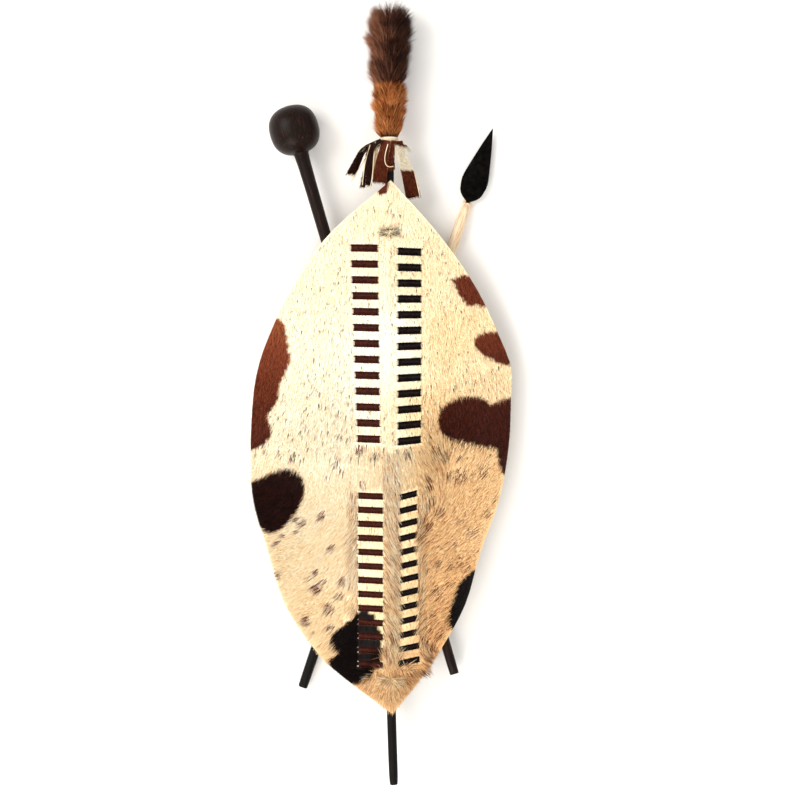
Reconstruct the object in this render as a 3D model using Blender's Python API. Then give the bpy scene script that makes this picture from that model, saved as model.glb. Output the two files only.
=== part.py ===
# A small cowhide shield on a central stick, with a knobbed club and a short spear crossed behind it.
# It lies face up: +Z is the side with the hair, +Y runs up the stick to the fur tail, +X to the right.
# Metres. The working frame has its origin on the floor, under the point of the stick where the
# weapons cross. At the end one empty, which carries every piece, moves the bottom centre of the
# whole onto (0, 0, 0).

import math

import bmesh
import bpy
from mathutils import Vector
from mathutils.geometry import delaunay_2d_cdt

GAP = 0.0003  # left between pieces that touch

# The hide: a leaf shape, cut from one skin
HIDE_LENGTH = 0.612
HIDE_WIDTH = 0.302
HIDE_THICKNESS = 0.0022
CROSSING_SHARE = 0.509  # where the weapons cross, as a share of the hide's length above its lower tip
RIDGE_HEIGHT = 0.0025  # the hide is drawn tight over the stick
RIDGE_REACH = 0.010
HIDE_OFFSET = 0.0015  # the hide's middle lies this far to the right of the stick
OUTLINE_STEPS = 44
RIDGE_STEPS = 60
FILL_SPACING = 0.026  # between the points that shape the hide's plain areas
FILL_START = 0.057  # they begin this far from the stick, outside the lacing
# Share of the length above the lower tip, then the shares of the width left and right of the stick
HIDE_OUTLINE = (
    (0.00, 0.000, 0.000),
    (0.05, 0.137, 0.085),
    (0.10, 0.258, 0.162),
    (0.20, 0.400, 0.280),
    (0.30, 0.466, 0.340),
    (0.40, 0.526, 0.413),
    (0.50, 0.536, 0.450),
    (0.60, 0.525, 0.459),
    (0.65, 0.507, 0.459),
    (0.70, 0.473, 0.421),
    (0.80, 0.377, 0.324),
    (0.90, 0.234, 0.181),
    (1.00, 0.000, 0.000),
)

# The lacing: a leather strip woven up and down through a column of slits
STRIP_THICKNESS = 0.0012
SLIT_GAP = 0.0020  # height of the opening that the strip passes through
SLIT_MARGIN = 0.0020  # a slit runs this far past the strip on each side
BARS = 13  # times that a strip shows on the front
STRIP_TAIL = 0.007  # how far a strip's end runs on behind the hide
# Name, shares of the hide's length at the first and last bar, distance of the middle from the stick,
# width of the strip, height of one bar, and how far a bar's right end is raised, in degrees; each pair
# of values is for the top and the bottom of the column.
COLUMNS = (
    ("strip_upper_left", (0.873, 0.515), (-0.0290, -0.0240), (0.0300, 0.0250), 0.0086, (-1.0, -2.0)),
    ("strip_upper_right", (0.866, 0.512), (0.0230, 0.0228), (0.0262, 0.0255), 0.0088, (-2.0, 6.0)),
    ("strip_lower_left", (0.408, 0.092), (-0.0218, -0.0218), (0.0275, 0.0275), 0.0074, (-2.0, -3.0)),
    ("strip_lower_right", (0.409, 0.098), (0.0205, 0.0222), (0.0215, 0.0250), 0.0072, (14.0, 12.0)),
)

# The stick that stiffens the hide and carries the tail
STICK_RADIUS = 0.0055
STICK_TOP_RADIUS = 0.0045
STICK_BELOW = 0.083  # below the hide's lower tip
STICK_ABOVE = 0.186  # above the hide's upper tip
STICK_BOW = 0.005  # the lower end leans to the right by this much
STICK_SIDES = 12

# Two thongs tie the hide to the stick, each through a pair of slits beside it
TIE_THICKNESS = 0.0012
TIE_WIDTH = 0.005
TIE_REACH = 0.0066  # from the stick's axis to the near side of the slits
TIE_SHARES = (("tie_upper", 0.902), ("tie_lower", 0.062))

# The spear, nearest the floor
SPEAR_ANGLE = 18.8  # degrees from the stick, its blade to the right
SPEAR_RADIUS = 0.0063
SPEAR_BELOW = 0.302  # from the crossing down to the butt
SPEAR_ABOVE = 0.305  # from the crossing up to the shaft's end
BLADE_LENGTH = 0.0895
BLADE_WIDTH = 0.0310
BLADE_THICKNESS = 0.0022
BLADE_EDGE = 0.0006
# Shares of the blade's length from its base, and of its full width
BLADE_SHAPE = (
    (0.00, 0.14), (0.04, 0.50), (0.10, 0.80), (0.18, 0.93), (0.29, 1.00), (0.56, 0.68), (0.80, 0.34),
    (1.00, 0.02),
)
TANG_LENGTH = 0.022
TANG_WIDTH = 0.0045
TANG_THICKNESS = 0.0016
LAP_LENGTH = 0.010  # the shaft's end is cut back this far for the blade's base

# The club, between the spear and the stick
CLUB_ANGLE = 16.4  # degrees from the stick, its knob to the left
CLUB_RADIUS = 0.0068  # at the knob
CLUB_BUTT_RADIUS = 0.0062
CLUB_ABOVE = 0.375  # from the crossing up to the middle of the knob
CLUB_BELOW = 0.281
KNOB_RADIUS = 0.0293
KNOB_HALF_LENGTH = 0.0285
KNOB_SQUARENESS = 2.45
KNOB_FLAT = 0.0007  # depth of the flat spot that the knob rests on
CROSSING_X = -0.004  # the weapons cross a little to the left of the stick

# The leather loop that holds both weapons to the stick
LOOP_THICKNESS = 0.0015
LOOP_WIDTH = 0.011
LOOP_BULGE_REACH = 0.045  # the hide rises over the loop for this far up and down the stick

# The fur tail: two sleeves of skin with the hair on, and under them a collar with a fringe of hide strips
TAIL_GINGER_START = 0.050  # above the hide's upper tip
TAIL_GINGER_LENGTH = 0.062
TAIL_DARK_LENGTH = 0.084
# Shares of the sleeve's length, and the radius of the hair's outer shape there
GINGER_SHAPE = ((0.00, 0.0105), (0.10, 0.0125), (0.40, 0.0165), (0.75, 0.0185), (1.00, 0.0165))
DARK_SHAPE = (
    (0.00, 0.0145), (0.22, 0.0195), (0.45, 0.0235), (0.72, 0.0265), (0.92, 0.0240), (1.00, 0.0150),
)
COLLAR_HEIGHT = 0.0075
COLLAR_RADIUS = 0.0105
FRINGE_THICKNESS = 0.0014


def smooth_value(stations, share):
    """Cubic through (share, value) pairs, with the slope at each pair taken from its neighbours."""
    last = len(stations) - 1
    i = 0
    while i < last - 1 and share > stations[i + 1][0]:
        i += 1

    def slope(k):
        before, after = stations[max(k - 1, 0)], stations[min(k + 1, last)]
        return (after[1] - before[1]) / (after[0] - before[0])

    (x0, y0), (x1, y1) = stations[i], stations[i + 1]
    step = x1 - x0
    t = min(max((share - x0) / step, 0.0), 1.0)
    return (
        (2 * t**3 - 3 * t**2 + 1) * y0
        + (t**3 - 2 * t**2 + t) * step * slope(i)
        + (3 * t**2 - 2 * t**3) * y1
        + (t**3 - t**2) * step * slope(i + 1)
    )


def mix(pair, t):
    """The value at t between the two of a pair."""
    return pair[0] + (pair[1] - pair[0]) * t


LEFT_SHARES = [(share, left) for share, left, right in HIDE_OUTLINE]
RIGHT_SHARES = [(share, right) for share, left, right in HIDE_OUTLINE]
TIP_Y = (1 - CROSSING_SHARE) * HIDE_LENGTH
LOWER_TIP_Y = -CROSSING_SHARE * HIDE_LENGTH
STICK_BOTTOM_Y = LOWER_TIP_Y - STICK_BELOW
STICK_TOP_Y = TIP_Y + STICK_ABOVE

# Heights, stacked from the floor: loop, spear, club, stick, hide
SPEAR_Z = LOOP_THICKNESS + GAP + SPEAR_RADIUS
CLUB_CROSS_RADIUS = mix((CLUB_RADIUS, CLUB_BUTT_RADIUS), CLUB_ABOVE / (CLUB_ABOVE + CLUB_BELOW))
CLUB_Z = SPEAR_Z + SPEAR_RADIUS + GAP + CLUB_CROSS_RADIUS
STICK_Z = CLUB_Z + CLUB_CROSS_RADIUS + GAP + STICK_RADIUS
RIDGE_Z = STICK_Z + STICK_RADIUS + GAP  # underside of the hide on the stick
LOOP_BULGE = LOOP_THICKNESS + 3 * GAP
KNOB_Z = KNOB_RADIUS - KNOB_FLAT
CLUB_SLOPE = (KNOB_Z - CLUB_Z) / CLUB_ABOVE


def hide_y(share):
    """Height up the hide, in the working frame, of a share of its length."""
    return (share - CROSSING_SHARE) * HIDE_LENGTH


def stick_x(y):
    """The stick is a peeled branch, straight above and leaning to the right at its lower end."""
    below = max(0.0, -y - 0.4 * abs(STICK_BOTTOM_Y))
    return STICK_BOW * (below / (0.6 * abs(STICK_BOTTOM_Y))) ** 2


def club_point(along):
    """A point on the club's axis, this far above the crossing."""
    angle = math.radians(CLUB_ANGLE)
    x = CROSSING_X - along * math.sin(angle)
    return Vector((x, along * math.cos(angle), CLUB_Z + along * CLUB_SLOPE))


def club_radius(along):
    """The shaft tapers from the knob to the butt."""
    return mix((CLUB_BUTT_RADIUS, CLUB_RADIUS), (along + CLUB_BELOW) / (CLUB_ABOVE + CLUB_BELOW))


def hide_sag():
    """The hide's drop over its distance from the stick squared: at its edge it lies on the club."""
    along = 0.0
    while along < CLUB_ABOVE:
        point = club_point(along)
        share = point.y / HIDE_LENGTH + CROSSING_SHARE
        if share >= 1 or -point.x > smooth_value(LEFT_SHARES, share) * HIDE_WIDTH:
            break
        along += 0.002
    over_club = club_point(along).z + club_radius(along) + 2 * GAP
    reach = abs(club_point(along).x) + club_radius(along)
    return (RIDGE_Z - RIDGE_HEIGHT - over_club) / reach**2


HIDE_SAG = hide_sag()


def hide_base(x, y):
    """Height of the hide's mid surface, without the lacing."""
    across = x - stick_x(y)
    ridge = RIDGE_HEIGHT * (math.exp(-((across / RIDGE_REACH) ** 2)) - 1)
    bulge = LOOP_BULGE * math.exp(-((y / LOOP_BULGE_REACH) ** 2) - (across / (3 * RIDGE_REACH)) ** 2)
    return RIDGE_Z + HIDE_THICKNESS / 2 + ridge + bulge - HIDE_SAG * across**2


class Column:
    """A column of slits, and the strip woven through it. t runs from 0 at the first bar to 1 at the last."""

    def __init__(self, name, shares, offsets, widths, bar_height, tilts):
        self.name = name
        self.tops = tuple(hide_y(share) for share in shares)
        self.offsets = offsets
        self.widths = widths
        self.tilts = tilts
        self.under = bar_height / 2 - SLIT_GAP  # half the height of the hide's bar behind the strip
        self.pitch = (self.tops[0] - self.tops[1]) / (BARS - 1)

    def at(self, s, y):
        """The point at s times half a slit's length from the column's middle, level with y there."""
        t = (self.tops[0] - y) / (self.tops[0] - self.tops[1])
        tilt = math.radians(mix(self.tilts, t))
        reach = s * (mix(self.widths, t) / 2 + SLIT_MARGIN)
        return Vector((mix(self.offsets, t) + reach * math.cos(tilt), y + reach * math.sin(tilt)))

    def base(self, s, y):
        """The hide's height there: straight between the two ends of a slit, as the strip pulls it flat."""
        ends = [hide_base(*self.at(side, y)) for side in (-1, 1)]
        return mix(ends, (s + 1) / 2)

    def share_of(self, y, beyond_strip):
        """s at the strip's edge, or a little beyond it."""
        t = (self.tops[0] - y) / (self.tops[0] - self.tops[1])
        half = mix(self.widths, t) / 2
        return (half + beyond_strip) / (half + SLIT_MARGIN)

    def slits(self):
        """From the top down: the heights of a slit's two edges, and whether the strip shows below it."""
        for k in range(BARS):
            middle = self.tops[0] - k * self.pitch
            yield middle + self.under + SLIT_GAP, middle + self.under, True
            yield middle - self.under, middle - self.under - SLIT_GAP, False


# The hide and the strip each give way by half
WEAVE_RISE = (HIDE_THICKNESS / 2 + STRIP_THICKNESS / 2 + GAP) / 2
WOVEN = [Column(*column) for column in COLUMNS]


def material(name, colour, roughness, metallic=0.0):
    """A Principled material of one colour, in linear red, green and blue."""
    made = bpy.data.materials.new(name)
    made.use_nodes = True
    shader = made.node_tree.nodes["Principled BSDF"]
    shader.inputs["Base Color"].default_value = (*colour, 1.0)
    shader.inputs["Roughness"].default_value = roughness
    shader.inputs["Metallic"].default_value = metallic
    return made


def object_of(name, mesh, finish, smooth_angle=40):
    """The bmesh as a named object with its material, carried by the empty that holds the whole set."""
    bmesh.ops.remove_doubles(mesh, verts=mesh.verts, dist=1e-6)
    bmesh.ops.recalc_face_normals(mesh, faces=mesh.faces)
    data = bpy.data.meshes.new(name)
    mesh.to_mesh(data)
    mesh.free()
    data.materials.append(finish)
    data.shade_smooth()
    data.set_sharp_from_angle(angle=math.radians(smooth_angle))
    made = bpy.data.objects.new(name, data)
    bpy.context.collection.objects.link(made)
    made.parent = carrier
    return made


def loft(rings, closed_path=False):
    """Skins a row of rings, each a list of as many points, and caps the two ends."""
    mesh = bmesh.new()
    rows = [[mesh.verts.new(point) for point in ring] for ring in rings]
    pairs = list(zip(rows, rows[1:]))
    if closed_path:
        pairs.append((rows[-1], rows[0]))
    for first, second in pairs:
        for i in range(len(first)):
            j = (i + 1) % len(first)
            mesh.faces.new((first[i], first[j], second[j], second[i]))
    if not closed_path:
        mesh.faces.new(rows[0])
        mesh.faces.new(reversed(rows[-1]))
    return mesh


def round_ring(centre, direction, radius, sides):
    """A circle of points about a centre, square to a direction."""
    direction = direction.normalized()
    across = direction.cross(Vector((0, 0, 1))).normalized()
    up = across.cross(direction)
    turns = [2 * math.pi * i / sides for i in range(sides)]
    return [centre + radius * (across * math.cos(turn) + up * math.sin(turn)) for turn in turns]


def cutter(name, mesh):
    """A tool for a Boolean: it isn't part of the object."""
    made = object_of(name, mesh, leather)
    made.hide_render = True
    made.display_type = "WIRE"
    return made


def cut(piece, tool):
    """Takes the tool's shape out of a piece."""
    boolean = piece.modifiers.new("cut " + tool.name, "BOOLEAN")
    boolean.operation = "DIFFERENCE"
    boolean.solver = "EXACT"
    boolean.object = tool


def block(centre, along, up, length, width, height):
    """A box about a centre, its length along one direction and its height along another."""
    along, up = along.normalized(), up.normalized()
    side = along.cross(up)
    mesh = bmesh.new()
    bmesh.ops.create_cube(mesh, size=1.0)
    for corner in mesh.verts:
        x, y, z = corner.co
        corner.co = centre + along * (x * length) + side * (y * width) + up * (z * height)
    return mesh


def hide_points():
    """The hide's flat layout. Returns its points, the height of each, the loops that bound the sheet,
    the holes among those, and the ridge along the stick."""
    points, heights, loops, holes = [], [], [], []

    def add(point, height=None):
        points.append(Vector((point[0], point[1])))
        heights.append(hide_base(point[0], point[1]) if height is None else height)
        return len(points) - 1

    def add_loop(entries, hole):
        loop = [add(*entry) for entry in entries]
        loops.append(loop)
        if hole:
            holes.append(set(loop))

    def edge(shares, side, share):
        middle = stick_x(hide_y(share)) + HIDE_OFFSET
        return (middle + side * smooth_value(shares, share) * HIDE_WIDTH, hide_y(share))

    steps = [i / OUTLINE_STEPS for i in range(OUTLINE_STEPS + 1)]
    left = [edge(LEFT_SHARES, -1, share) for share in steps]
    right = [edge(RIGHT_SHARES, 1, share) for share in steps[1:-1]]
    add_loop([(point,) for point in left + right[::-1]], hole=False)

    for column in WOVEN:
        for upper, lower, strip_below in column.slits():
            # Above the slit the hide is over the strip if the strip shows below, and the other way round
            rise = WEAVE_RISE if strip_below else -WEAVE_RISE
            corners = []
            for y, lift in ((upper, rise), (lower, -rise)):
                full = column.share_of(y, GAP)
                row = [(column.at(s, y), column.base(s, y) + lift) for s in (-full, full)]
                corners += row if y == upper else row[::-1]
            middle = (upper + lower) / 2
            ends = [(column.at(s, middle), column.base(s, middle)) for s in (-1, 1)]
            add_loop([ends[0], corners[0], corners[1], ends[1], corners[2], corners[3]], hole=True)

    near, far = TIE_REACH, TIE_REACH + TIE_THICKNESS + 3 * GAP
    half = TIE_WIDTH / 2 + GAP
    for _, share in TIE_SHARES:
        y = hide_y(share)
        for side in (-1, 1):
            corners = ((near, half), (far, half), (far, -half), (near, -half))
            add_loop([((side * x + stick_x(y), y + rise),) for x, rise in corners], hole=True)

    # The ridge is an edge of the mesh all the way, so that no face cuts across it into the stick
    ridge = []
    for i in range(1, RIDGE_STEPS):
        y = hide_y(i / RIDGE_STEPS)
        ridge.append(add((stick_x(y), y)))

    rows = int(HIDE_LENGTH / FILL_SPACING)
    for i in range(1, rows):
        share = i / rows
        y = hide_y(share)
        bounds = [side * smooth_value(shares, share) * HIDE_WIDTH for shares, side in
                  ((LEFT_SHARES, -1), (RIGHT_SHARES, 1))]
        x = FILL_START
        while x < max(abs(bounds[0]), bounds[1]):
            for side, bound in ((-1, bounds[0]), (1, bounds[1])):
                if x < abs(bound) - 0.4 * FILL_SPACING:
                    add((side * x, y))
            x += FILL_SPACING
    return points, heights, loops, holes, ridge


def make_hide():
    """The sheet between its outline and its slits, given its thickness straight down."""
    points, heights, loops, holes, ridge = hide_points()
    edges = [(loop[i], loop[(i + 1) % len(loop)]) for loop in loops for i in range(len(loop))]
    edges += list(zip(ridge, ridge[1:]))
    flat, _, faces, sources, _, _ = delaunay_2d_cdt(points, edges, [], 0, 1e-7)
    outline = [points[i] for i in loops[0]]

    def inside(point):
        crossed = False
        for a, b in zip(outline, outline[1:] + outline[:1]):
            if (a.y > point.y) != (b.y > point.y):
                crossed ^= point.x < a.x + (b.x - a.x) * (point.y - a.y) / (b.y - a.y)
        return crossed

    mesh = bmesh.new()
    origin = [source[0] for source in sources]
    corners = [
        mesh.verts.new((spot.x, spot.y, heights[i] + HIDE_THICKNESS / 2)) for spot, i in zip(flat, origin)
    ]
    for face in faces:
        middle = (flat[face[0]] + flat[face[1]] + flat[face[2]]) / 3
        in_hole = any({origin[i] for i in face} <= hole for hole in holes)
        if not in_hole and inside(middle):
            mesh.faces.new([corners[i] for i in face])
    bmesh.ops.delete(mesh, geom=[corner for corner in mesh.verts if not corner.link_faces], context="VERTS")
    grown = bmesh.ops.extrude_face_region(mesh, geom=mesh.faces[:], use_keep_orig=True)
    lower = [piece for piece in grown["geom"] if isinstance(piece, bmesh.types.BMVert)]
    bmesh.ops.translate(mesh, vec=(0, 0, -HIDE_THICKNESS), verts=lower)
    object_of("hide", mesh, hide_hair)


def make_strip(column, finish):
    """The strip over and under the hide's bars, from a tail behind the top to a tail behind the bottom."""
    stations = []
    for upper, lower, strip_below in column.slits():
        rise = -WEAVE_RISE if strip_below else WEAVE_RISE
        stations += [(upper, rise), (lower, -rise)]
    stations = [
        (stations[0][0] + STRIP_TAIL, -WEAVE_RISE - 3 * GAP),
        *stations,
        (stations[-1][0] - STRIP_TAIL, -WEAVE_RISE - 3 * GAP),
    ]
    rings = []
    for y, rise in stations:
        s = column.share_of(y, 0.0)
        ring = []
        for side, half in ((-s, -1), (s, -1), (s, 1), (-s, 1)):
            place = column.at(side, y)
            ring.append(Vector((*place, column.base(side, y) + rise + half * STRIP_THICKNESS / 2)))
        rings.append(ring)
    object_of(column.name, loft(rings), finish, smooth_angle=20)


def make_stick():
    """A peeled branch, a little thinner at the top."""
    rounding = STICK_RADIUS / 2
    stations = [STICK_BOTTOM_Y, STICK_BOTTOM_Y + rounding]
    stations += [STICK_BOTTOM_Y * (1 - i / 8) for i in range(1, 7)]
    stations += [TIP_Y, STICK_TOP_Y - rounding, STICK_TOP_Y]
    rings = []
    for y in stations:
        ahead = stick_x(y + 0.001) - stick_x(y)
        # Thin only above the hide, so that the hide and the thongs lie on it at one height
        above = max(0.0, (y - TIP_Y) / STICK_ABOVE)
        radius = mix((STICK_RADIUS, STICK_TOP_RADIUS), above)
        if y in (STICK_BOTTOM_Y, STICK_TOP_Y):
            radius *= 0.75
        run = Vector((ahead, 0.001, 0))
        rings.append(round_ring(Vector((stick_x(y), y, STICK_Z)), run, radius, STICK_SIDES))
    object_of("stick", loft(rings), black_wood)


def make_club():
    """Knob and shaft carved from one piece of wood, with a flat spot under the knob."""
    upper, lower = club_point(CLUB_ABOVE), club_point(-CLUB_BELOW)
    along = (upper - lower).normalized()
    length = (upper - lower).length
    stations = [(0.0, CLUB_BUTT_RADIUS * 0.8), (CLUB_BUTT_RADIUS * 0.5, CLUB_BUTT_RADIUS)]
    neck = length - KNOB_HALF_LENGTH * 0.98
    stations.append((neck, CLUB_RADIUS))
    knob_steps = 12
    for i in range(knob_steps + 1):
        turn = math.pi * (0.075 + 0.925 * i / knob_steps)
        radius = KNOB_RADIUS * max(math.sin(turn), 1e-6) ** (2 / KNOB_SQUARENESS)
        reach = -math.copysign(abs(math.cos(turn)) ** (2 / KNOB_SQUARENESS), math.cos(turn))
        if radius > CLUB_RADIUS or turn > math.pi / 2:
            stations.append((length + KNOB_HALF_LENGTH * reach, max(radius, KNOB_RADIUS * 0.06)))
    rings = [round_ring(lower + along * at, along, radius, 20) for at, radius in stations]
    mesh = loft(rings)
    bmesh.ops.triangulate(mesh, faces=[face for face in mesh.faces if len(face.verts) > 4])
    everything = mesh.verts[:] + mesh.edges[:] + mesh.faces[:]
    sliced = bmesh.ops.bisect_plane(
        mesh, geom=everything, plane_co=(0, 0, 0), plane_no=(0, 0, -1), clear_outer=True, dist=1e-7
    )
    rim = [piece for piece in sliced["geom_cut"] if isinstance(piece, bmesh.types.BMEdge)]
    bmesh.ops.edgeloop_fill(mesh, edges=rim)
    object_of("club", mesh, dark_wood)


def spear_frame():
    """The spear's direction, and its crossing point."""
    angle = math.radians(SPEAR_ANGLE)
    return Vector((math.sin(angle), math.cos(angle), 0)), Vector((CROSSING_X, 0, SPEAR_Z))


def make_spear_shaft():
    """A straight shaft, its end cut to half its depth for the blade's base and bored for the tang."""
    along, crossing = spear_frame()
    up = Vector((0, 0, 1))
    rounding = SPEAR_RADIUS * 0.4
    stations = [(-SPEAR_BELOW, SPEAR_RADIUS * 0.8), (-SPEAR_BELOW + rounding, SPEAR_RADIUS)]
    stations += [(SPEAR_ABOVE - rounding, SPEAR_RADIUS), (SPEAR_ABOVE, SPEAR_RADIUS * 0.85)]
    rings = [round_ring(crossing + along * at, along, radius, 20) for at, radius in stations]
    shaft = object_of("spear_shaft", loft(rings), pale_wood)
    seat = BLADE_THICKNESS / 2 + GAP
    end = crossing + along * SPEAR_ABOVE
    lap_height = 2 * SPEAR_RADIUS
    lap = block(
        end + up * (lap_height / 2 - seat), along, up, 2 * (LAP_LENGTH + GAP), 4 * SPEAR_RADIUS, lap_height
    )
    cut(shaft, cutter("lap_cut", lap))
    depth = LAP_LENGTH + TANG_LENGTH
    mortise = block(
        end - along * (depth / 2 - LAP_LENGTH / 2), along, up,
        depth + LAP_LENGTH + 2 * GAP, TANG_WIDTH + 2 * GAP, TANG_THICKNESS + 2 * GAP,
    )
    cut(shaft, cutter("mortise_cut", mortise))


def blade_half_width(t):
    """Half the leaf's width at a share of its length: a rounded base, then nearly straight to the point."""
    return smooth_value(BLADE_SHAPE, t) * BLADE_WIDTH / 2


def make_spear_blade():
    """A leaf blade with a low midrib, and the tang that goes into the shaft."""
    along, crossing = spear_frame()
    side = Vector((along.y, -along.x, 0))
    up = Vector((0, 0, 1))
    base = crossing + along * (SPEAR_ABOVE - LAP_LENGTH + GAP)

    def section(at, half, edge, rib):
        outline = ((-half, -edge), (0, -rib), (half, -edge), (half, edge), (0, rib), (-half, edge))
        return [base + along * at + side * x + up * z for x, z in outline]

    rings = []
    for at in (-TANG_LENGTH, 0.0):
        rings.append(section(at, TANG_WIDTH / 2, TANG_THICKNESS / 2, TANG_THICKNESS / 2 + 1e-5))
    steps = 16
    for i in range(steps + 1):
        t = max((i / steps) ** 1.5, 0.004)  # closer together at the rounded base
        rib = mix((BLADE_THICKNESS, BLADE_EDGE * 1.2), t) / 2
        rings.append(section(t * BLADE_LENGTH, blade_half_width(t), BLADE_EDGE / 2, rib))
    object_of("spear_blade", loft(rings), black_iron, smooth_angle=15)


def thong(name, y, width, thickness, shafts, finish):
    """A flat band pulled tight round what lies inside it, in a plane across the stick. Each shaft has a
    middle, a half width and a half height."""
    rings = []
    steps = 36
    for i in range(steps):
        turn = 2 * math.pi * (i + 0.5) / steps
        outward = Vector((math.cos(turn), math.sin(turn)))

        def support(shaft, outward=outward):
            return shaft[0].dot(outward) + math.hypot(shaft[1] * outward.x, shaft[2] * outward.y)

        middle, wide, high = max(shafts, key=support)
        size = max(math.hypot(wide * outward.x, high * outward.y), 1e-9)
        touch = middle + Vector((wide * wide * outward.x, high * high * outward.y)) / size
        ring = []
        for side, depth in ((-1, GAP), (1, GAP), (1, GAP + thickness), (-1, GAP + thickness)):
            spot = touch + outward * (depth / math.cos(math.pi / steps))
            ring.append(Vector((spot.x, y + side * width / 2, max(spot.y, 0.0))))
        rings.append(ring)
    object_of(name, loft(rings, closed_path=True), finish, smooth_angle=50)


def make_weapon_loop():
    """The thong round the stick, the club and the spear where they cross."""
    half = LOOP_WIDTH / 2
    club_lean, spear_lean = math.radians(CLUB_ANGLE), math.radians(SPEAR_ANGLE)
    shafts = [(Vector((0, STICK_Z)), STICK_RADIUS, STICK_RADIUS)]
    for lean, radius, high, z in (
        (club_lean, CLUB_CROSS_RADIUS, CLUB_CROSS_RADIUS + half * abs(CLUB_SLOPE), CLUB_Z),
        (spear_lean, SPEAR_RADIUS, SPEAR_RADIUS, SPEAR_Z),
    ):
        # A leaning shaft is a little to the left at one edge of the thong and to the right at the other
        for side in (-1, 1):
            middle = Vector((CROSSING_X + side * half * math.tan(lean), z))
            shafts.append((middle, radius / math.cos(lean), high))
    thong("weapon_loop", 0.0, LOOP_WIDTH, LOOP_THICKNESS, shafts, leather)


def make_tie(name, share):
    """A thong round the stick and over the front of the hide, through two slits beside the stick."""
    y = hide_y(share)
    x = stick_x(y)
    shafts = [(Vector((x, STICK_Z)), STICK_RADIUS, STICK_RADIUS)]
    for across in (-TIE_REACH, -TIE_REACH / 2, 0.0, TIE_REACH / 2, TIE_REACH):
        for along in (-TIE_WIDTH / 2, TIE_WIDTH / 2):
            for face in (-HIDE_THICKNESS / 2, HIDE_THICKNESS / 2):
                shafts.append((Vector((x + across, hide_base(x + across, y + along) + face)), 0.0, 0.0))
    thong(name, y, TIE_WIDTH, TIE_THICKNESS, shafts, leather)


def sleeve(name, start, length, shape, finish, blind):
    """A turned sleeve round the stick, the outer shape of its hair. A blind one closes over the end."""
    bore_start = mix((STICK_RADIUS, STICK_TOP_RADIUS), max(0.0, (start - TIP_Y) / STICK_ABOVE)) + GAP
    steps = 9
    outer = [(start + length * i / steps, smooth_value(shape, i / steps)) for i in range(steps + 1)]
    if blind:
        inner = [(STICK_TOP_Y + GAP, 0.0), (STICK_TOP_Y + GAP, bore_start), (start, bore_start)]
        profile = [*inner, *outer, (start + length + 0.3 * shape[-1][1], 0.0)]
    else:
        profile = [(start + length, bore_start), (start, bore_start), *outer]
    mesh = bmesh.new()
    line = [mesh.verts.new((radius, y, STICK_Z)) for y, radius in profile]
    if not blind:
        line.append(line[0])
    edges = [mesh.edges.new(pair) for pair in zip(line, line[1:])]
    bmesh.ops.spin(
        mesh, geom=list(dict.fromkeys(line)) + edges, cent=(0, 0, STICK_Z), axis=(0, 1, 0),
        angle=2 * math.pi, steps=20, use_merge=True,
    )
    object_of(name, mesh, finish)


def ribbon(name, path, widths, rolls, finish):
    """A flat strip of hide along a path of points. Each roll, in degrees, turns the strip about its own
    length from lying flat, with its right edge up."""
    count = 8
    shares = [i / (len(path) - 1) for i in range(len(path))]

    def at(t, values):
        return smooth_value(list(zip(shares, values)), t)

    rings = []
    for i in range(count + 1):
        t = i / count
        centre = Vector([at(t, [point[k] for point in path]) for k in range(3)])
        ahead, behind = min(t + 0.02, 1.0), max(t - 0.02, 0.0)
        run = Vector([at(ahead, [p[k] for p in path]) - at(behind, [p[k] for p in path]) for k in range(3)])
        run.normalize()
        flat = run.cross(Vector((0, 0, 1))).normalized()
        if flat.x < 0:
            flat.negate()
        normal = flat.cross(run)
        if normal.z < 0:
            normal.negate()
        roll = math.radians(mix(rolls, t))
        across = flat * math.cos(roll) + normal * math.sin(roll)
        up = normal * math.cos(roll) - flat * math.sin(roll)
        half, thick = mix(widths, t) / 2, FRINGE_THICKNESS / 2
        rings.append([centre + across * x + up * z for x, z in
                      ((-half, -thick), (half, -thick), (half, thick), (-half, thick))])
    object_of(name, loft(rings), finish, smooth_angle=30)


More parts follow.
